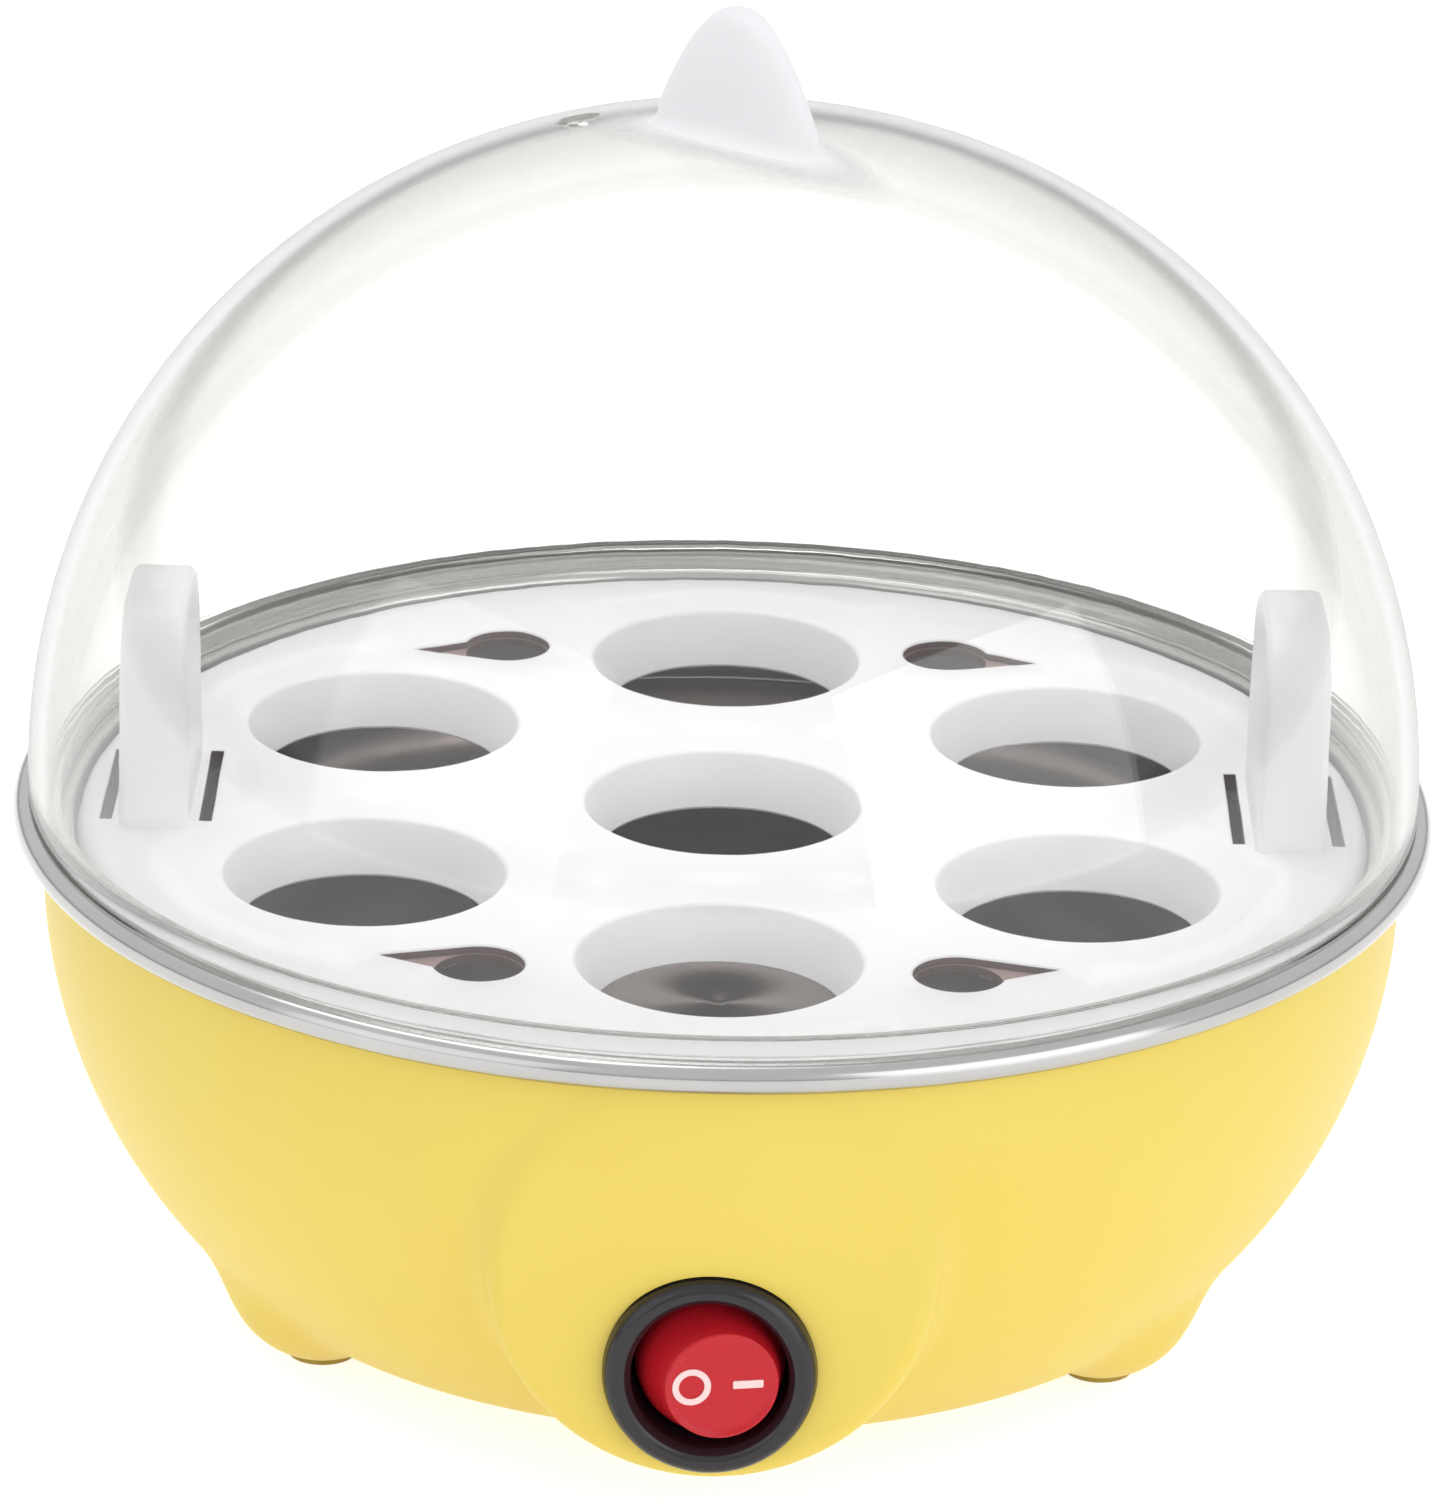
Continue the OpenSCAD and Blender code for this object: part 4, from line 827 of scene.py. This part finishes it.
finishes = {
    "base_cover": matt_abs, "base_screws": zinc, "rim_seal": silicone,
    "pan_standoffs": grained("turned_brass", ("#C8A24A", "#D6B25C"), 0.28, 0.15, 0.002, 4.0, (0.2, 0.2, 4.0),
                             Metallic=1.0),
    "heater_plate": grained("die_cast_aluminium", ("#A9ABAC", "#B9BBBC"), 0.5, 0.5, 0.015, 5.0, Metallic=1.0),
    "heater_tube": grained("oxidised_heater_sheath", ("#6E6A62", "#8A867C"), 0.42, 0.4, 0.004, 6.0, Metallic=1.0),
    "steel_tabs": grained("tinned_steel_strip", ("#BDBEBC", "#CFCFCC"), 0.3, 0.2, 0.002, 3.0, Metallic=1.0),
    "thermostat": grained("brown_phenolic", ("#3A2A22", "#4A372C"), 0.45, 0.3, 0.006, 4.0, IOR=1.6),
    "thermal_fuse": grained("lacquered_fuse_can", ("#B9B4A4", "#C9C4B6"), 0.3, 0.25, 0.002, 3.0, Metallic=1.0),
    "fuse_sleeve": grained("glass_fibre_sleeve", ("#D8D2C2", "#E8E2D4"), 0.7, 0.35, 0.02, 4.0, (1, 1, 3), IOR=1.5),
    "switch_plunger": grained("natural_nylon", ("#DDD8C8", "#E8E4D6"), 0.4, 0.4, 0.003, 4.0, IOR=1.53),
    "contact_plate": grained("rolled_copper", ("#B8693F", "#C87A50"), 0.25, 0.15, 0.0015, 3.0, (1, 1, 6),
                             Metallic=1.0),
    "switch_terminals": grained("tinned_brass_strip", ("#C0B58A", "#CFC59C"), 0.28, 0.15, 0.002, 3.0, Metallic=1.0),
    "neon_lamp": grained("lamp_glass", ("#E8A27A", "#F0B492"), 0.06, 0.6, 0.0005, 3.0, IOR=1.5),
    "terminal_block": grained("block_nylon", ("#E4E0D2", "#EEEADE"), 0.45, 0.5, 0.006, 5.0, IOR=1.53),
    "cord_gland": grained("black_nylon_gland", ("#232225", "#2E2D30"), 0.42, 0.5, 0.006, 5.0, IOR=1.53),
    "live_wire": grained("brown_silicone_insulation", ("#6E4228", "#7E4E32"), 0.5, 0.4, 0.004, 5.0, IOR=1.43),
    "switched_wire": grained("red_silicone_insulation", ("#B23226", "#C44034"), 0.5, 0.4, 0.004, 5.0, IOR=1.43),
    "neutral_wire": grained("blue_silicone_insulation", ("#2E5798", "#3B66AA"), 0.5, 0.4, 0.004, 5.0, IOR=1.43),
}
shared = {"heater_pins": "steel_tabs", "thermostat_tabs": "steel_tabs", "thermostat_flange": "steel_tabs",
          "thermostat_screws": "base_screws", "fuse_clip": "steel_tabs", "block_screws": "switch_terminals",
          "gland_nut": "cord_gland", "fuse_wire": "switched_wire", "lamp_wire": "neutral_wire"}
for node, part in solids.items():
    finish = finishes.get(shared.get(node, node))
    if finish:
        for holder in part.material_slots:
            holder.material = finish


# ---------------------------------------------------------------- floor, light and camera
# A white table in a white room, lit by three big soft lamps: one at each side in front, and one above. The room is
# darker in a band at eye height, which gives the steel and the dome something to mirror.

def by_ray(tree, scattered, mirrored, seen):
    """A strength that differs for rays off matt faces, rays off glossy faces, and rays seen direct or through
    the dome."""
    paths = add(tree, "ShaderNodeLightPath")
    direct = add(tree, "ShaderNodeMath", {0: paths.outputs["Is Camera Ray"], 1: paths.outputs["Is Transmission Ray"]},
                 operation="MAXIMUM")
    plain = ranged(tree, direct.outputs["Value"], scattered, seen)
    return add(tree, "ShaderNodeMix", {"Factor": paths.outputs["Is Glossy Ray"], "A": plain,
                                       "B": mirrored}).outputs["Result"]


# The table's top lies a hair under the pads, so that the two never share a plane.
floor_z = -0.05 * MM
bpy.ops.mesh.primitive_plane_add(size=6.0, location=(0, 0, floor_z))
floor = bpy.context.object
floor.name = "floor"
white, tree, surface = material("white_table", Roughness=0.6)
surface.inputs["Base Color"].default_value = (0.85, 0.85, 0.85, 1)
surface.inputs["Emission Color"].default_value = (1, 1, 1, 1)
tree.links.new(by_ray(tree, 0.3, 0.6, 0.73), surface.inputs["Emission Strength"])
floor.data.materials.append(white)

world = bpy.data.worlds.new("white_room")
bpy.context.scene.world = world
world.use_nodes = True
tree = world.node_tree
tree.nodes.clear()
heading = add(tree, "ShaderNodeSeparateXYZ", {"Vector": add(tree, "ShaderNodeTexCoord").outputs["Generated"]})
above = add(tree, "ShaderNodeMath", {0: heading.outputs["Z"], 1: 0.06}, operation="SUBTRACT")
off_band = add(tree, "ShaderNodeMath", {0: above.outputs["Value"]}, operation="ABSOLUTE")
walls = ranged(tree, off_band.outputs["Value"], 0.45, 1.0, 0.02, 0.1, interpolation_type="SMOOTHSTEP")
room = add(tree, "ShaderNodeBackground", {"Color": (1, 1, 1, 1), "Strength": by_ray(tree, 0.62, walls, 1.0)})
add(tree, "ShaderNodeOutputWorld", {"Surface": room.outputs["Background"]})


def lamp(name, place, size, watts, aim=(0, 0, 0.06)):
    """A square soft lamp at a place, aimed at a point."""
    data = bpy.data.lights.new(name, "AREA")
    data.size, data.energy = size, watts
    made = bpy.data.objects.new(name, data)
    made.location = place
    made.rotation_euler = (Vector(aim) - Vector(place)).to_track_quat("-Z", "Y").to_euler()
    bpy.context.scene.collection.objects.link(made)


lamp("key", (1.3, -1.2, 0.5), 1.6, 11.0)
lamp("fill", (-1.2, -1.1, 0.6), 1.4, 3.6)
lamp("top", (-0.3, 0.4, 1.8), 1.2, 10.0)

camera = bpy.data.objects.new("camera", bpy.data.cameras.new("camera"))
bpy.context.scene.collection.objects.link(camera)
bpy.context.scene.camera = camera
camera.location = (0.0, -1.020, 0.468)
camera.data.lens, camera.data.sensor_width = 233.6, 36.0
aim = Vector((0.0, 0.0, 0.064)) - camera.location
camera.rotation_euler = aim.to_track_quat("-Z", "Y").to_euler()
camera.rotation_euler.rotate_axis("Z", math.radians(1.3))
bpy.context.scene.view_settings.view_transform = "Standard"
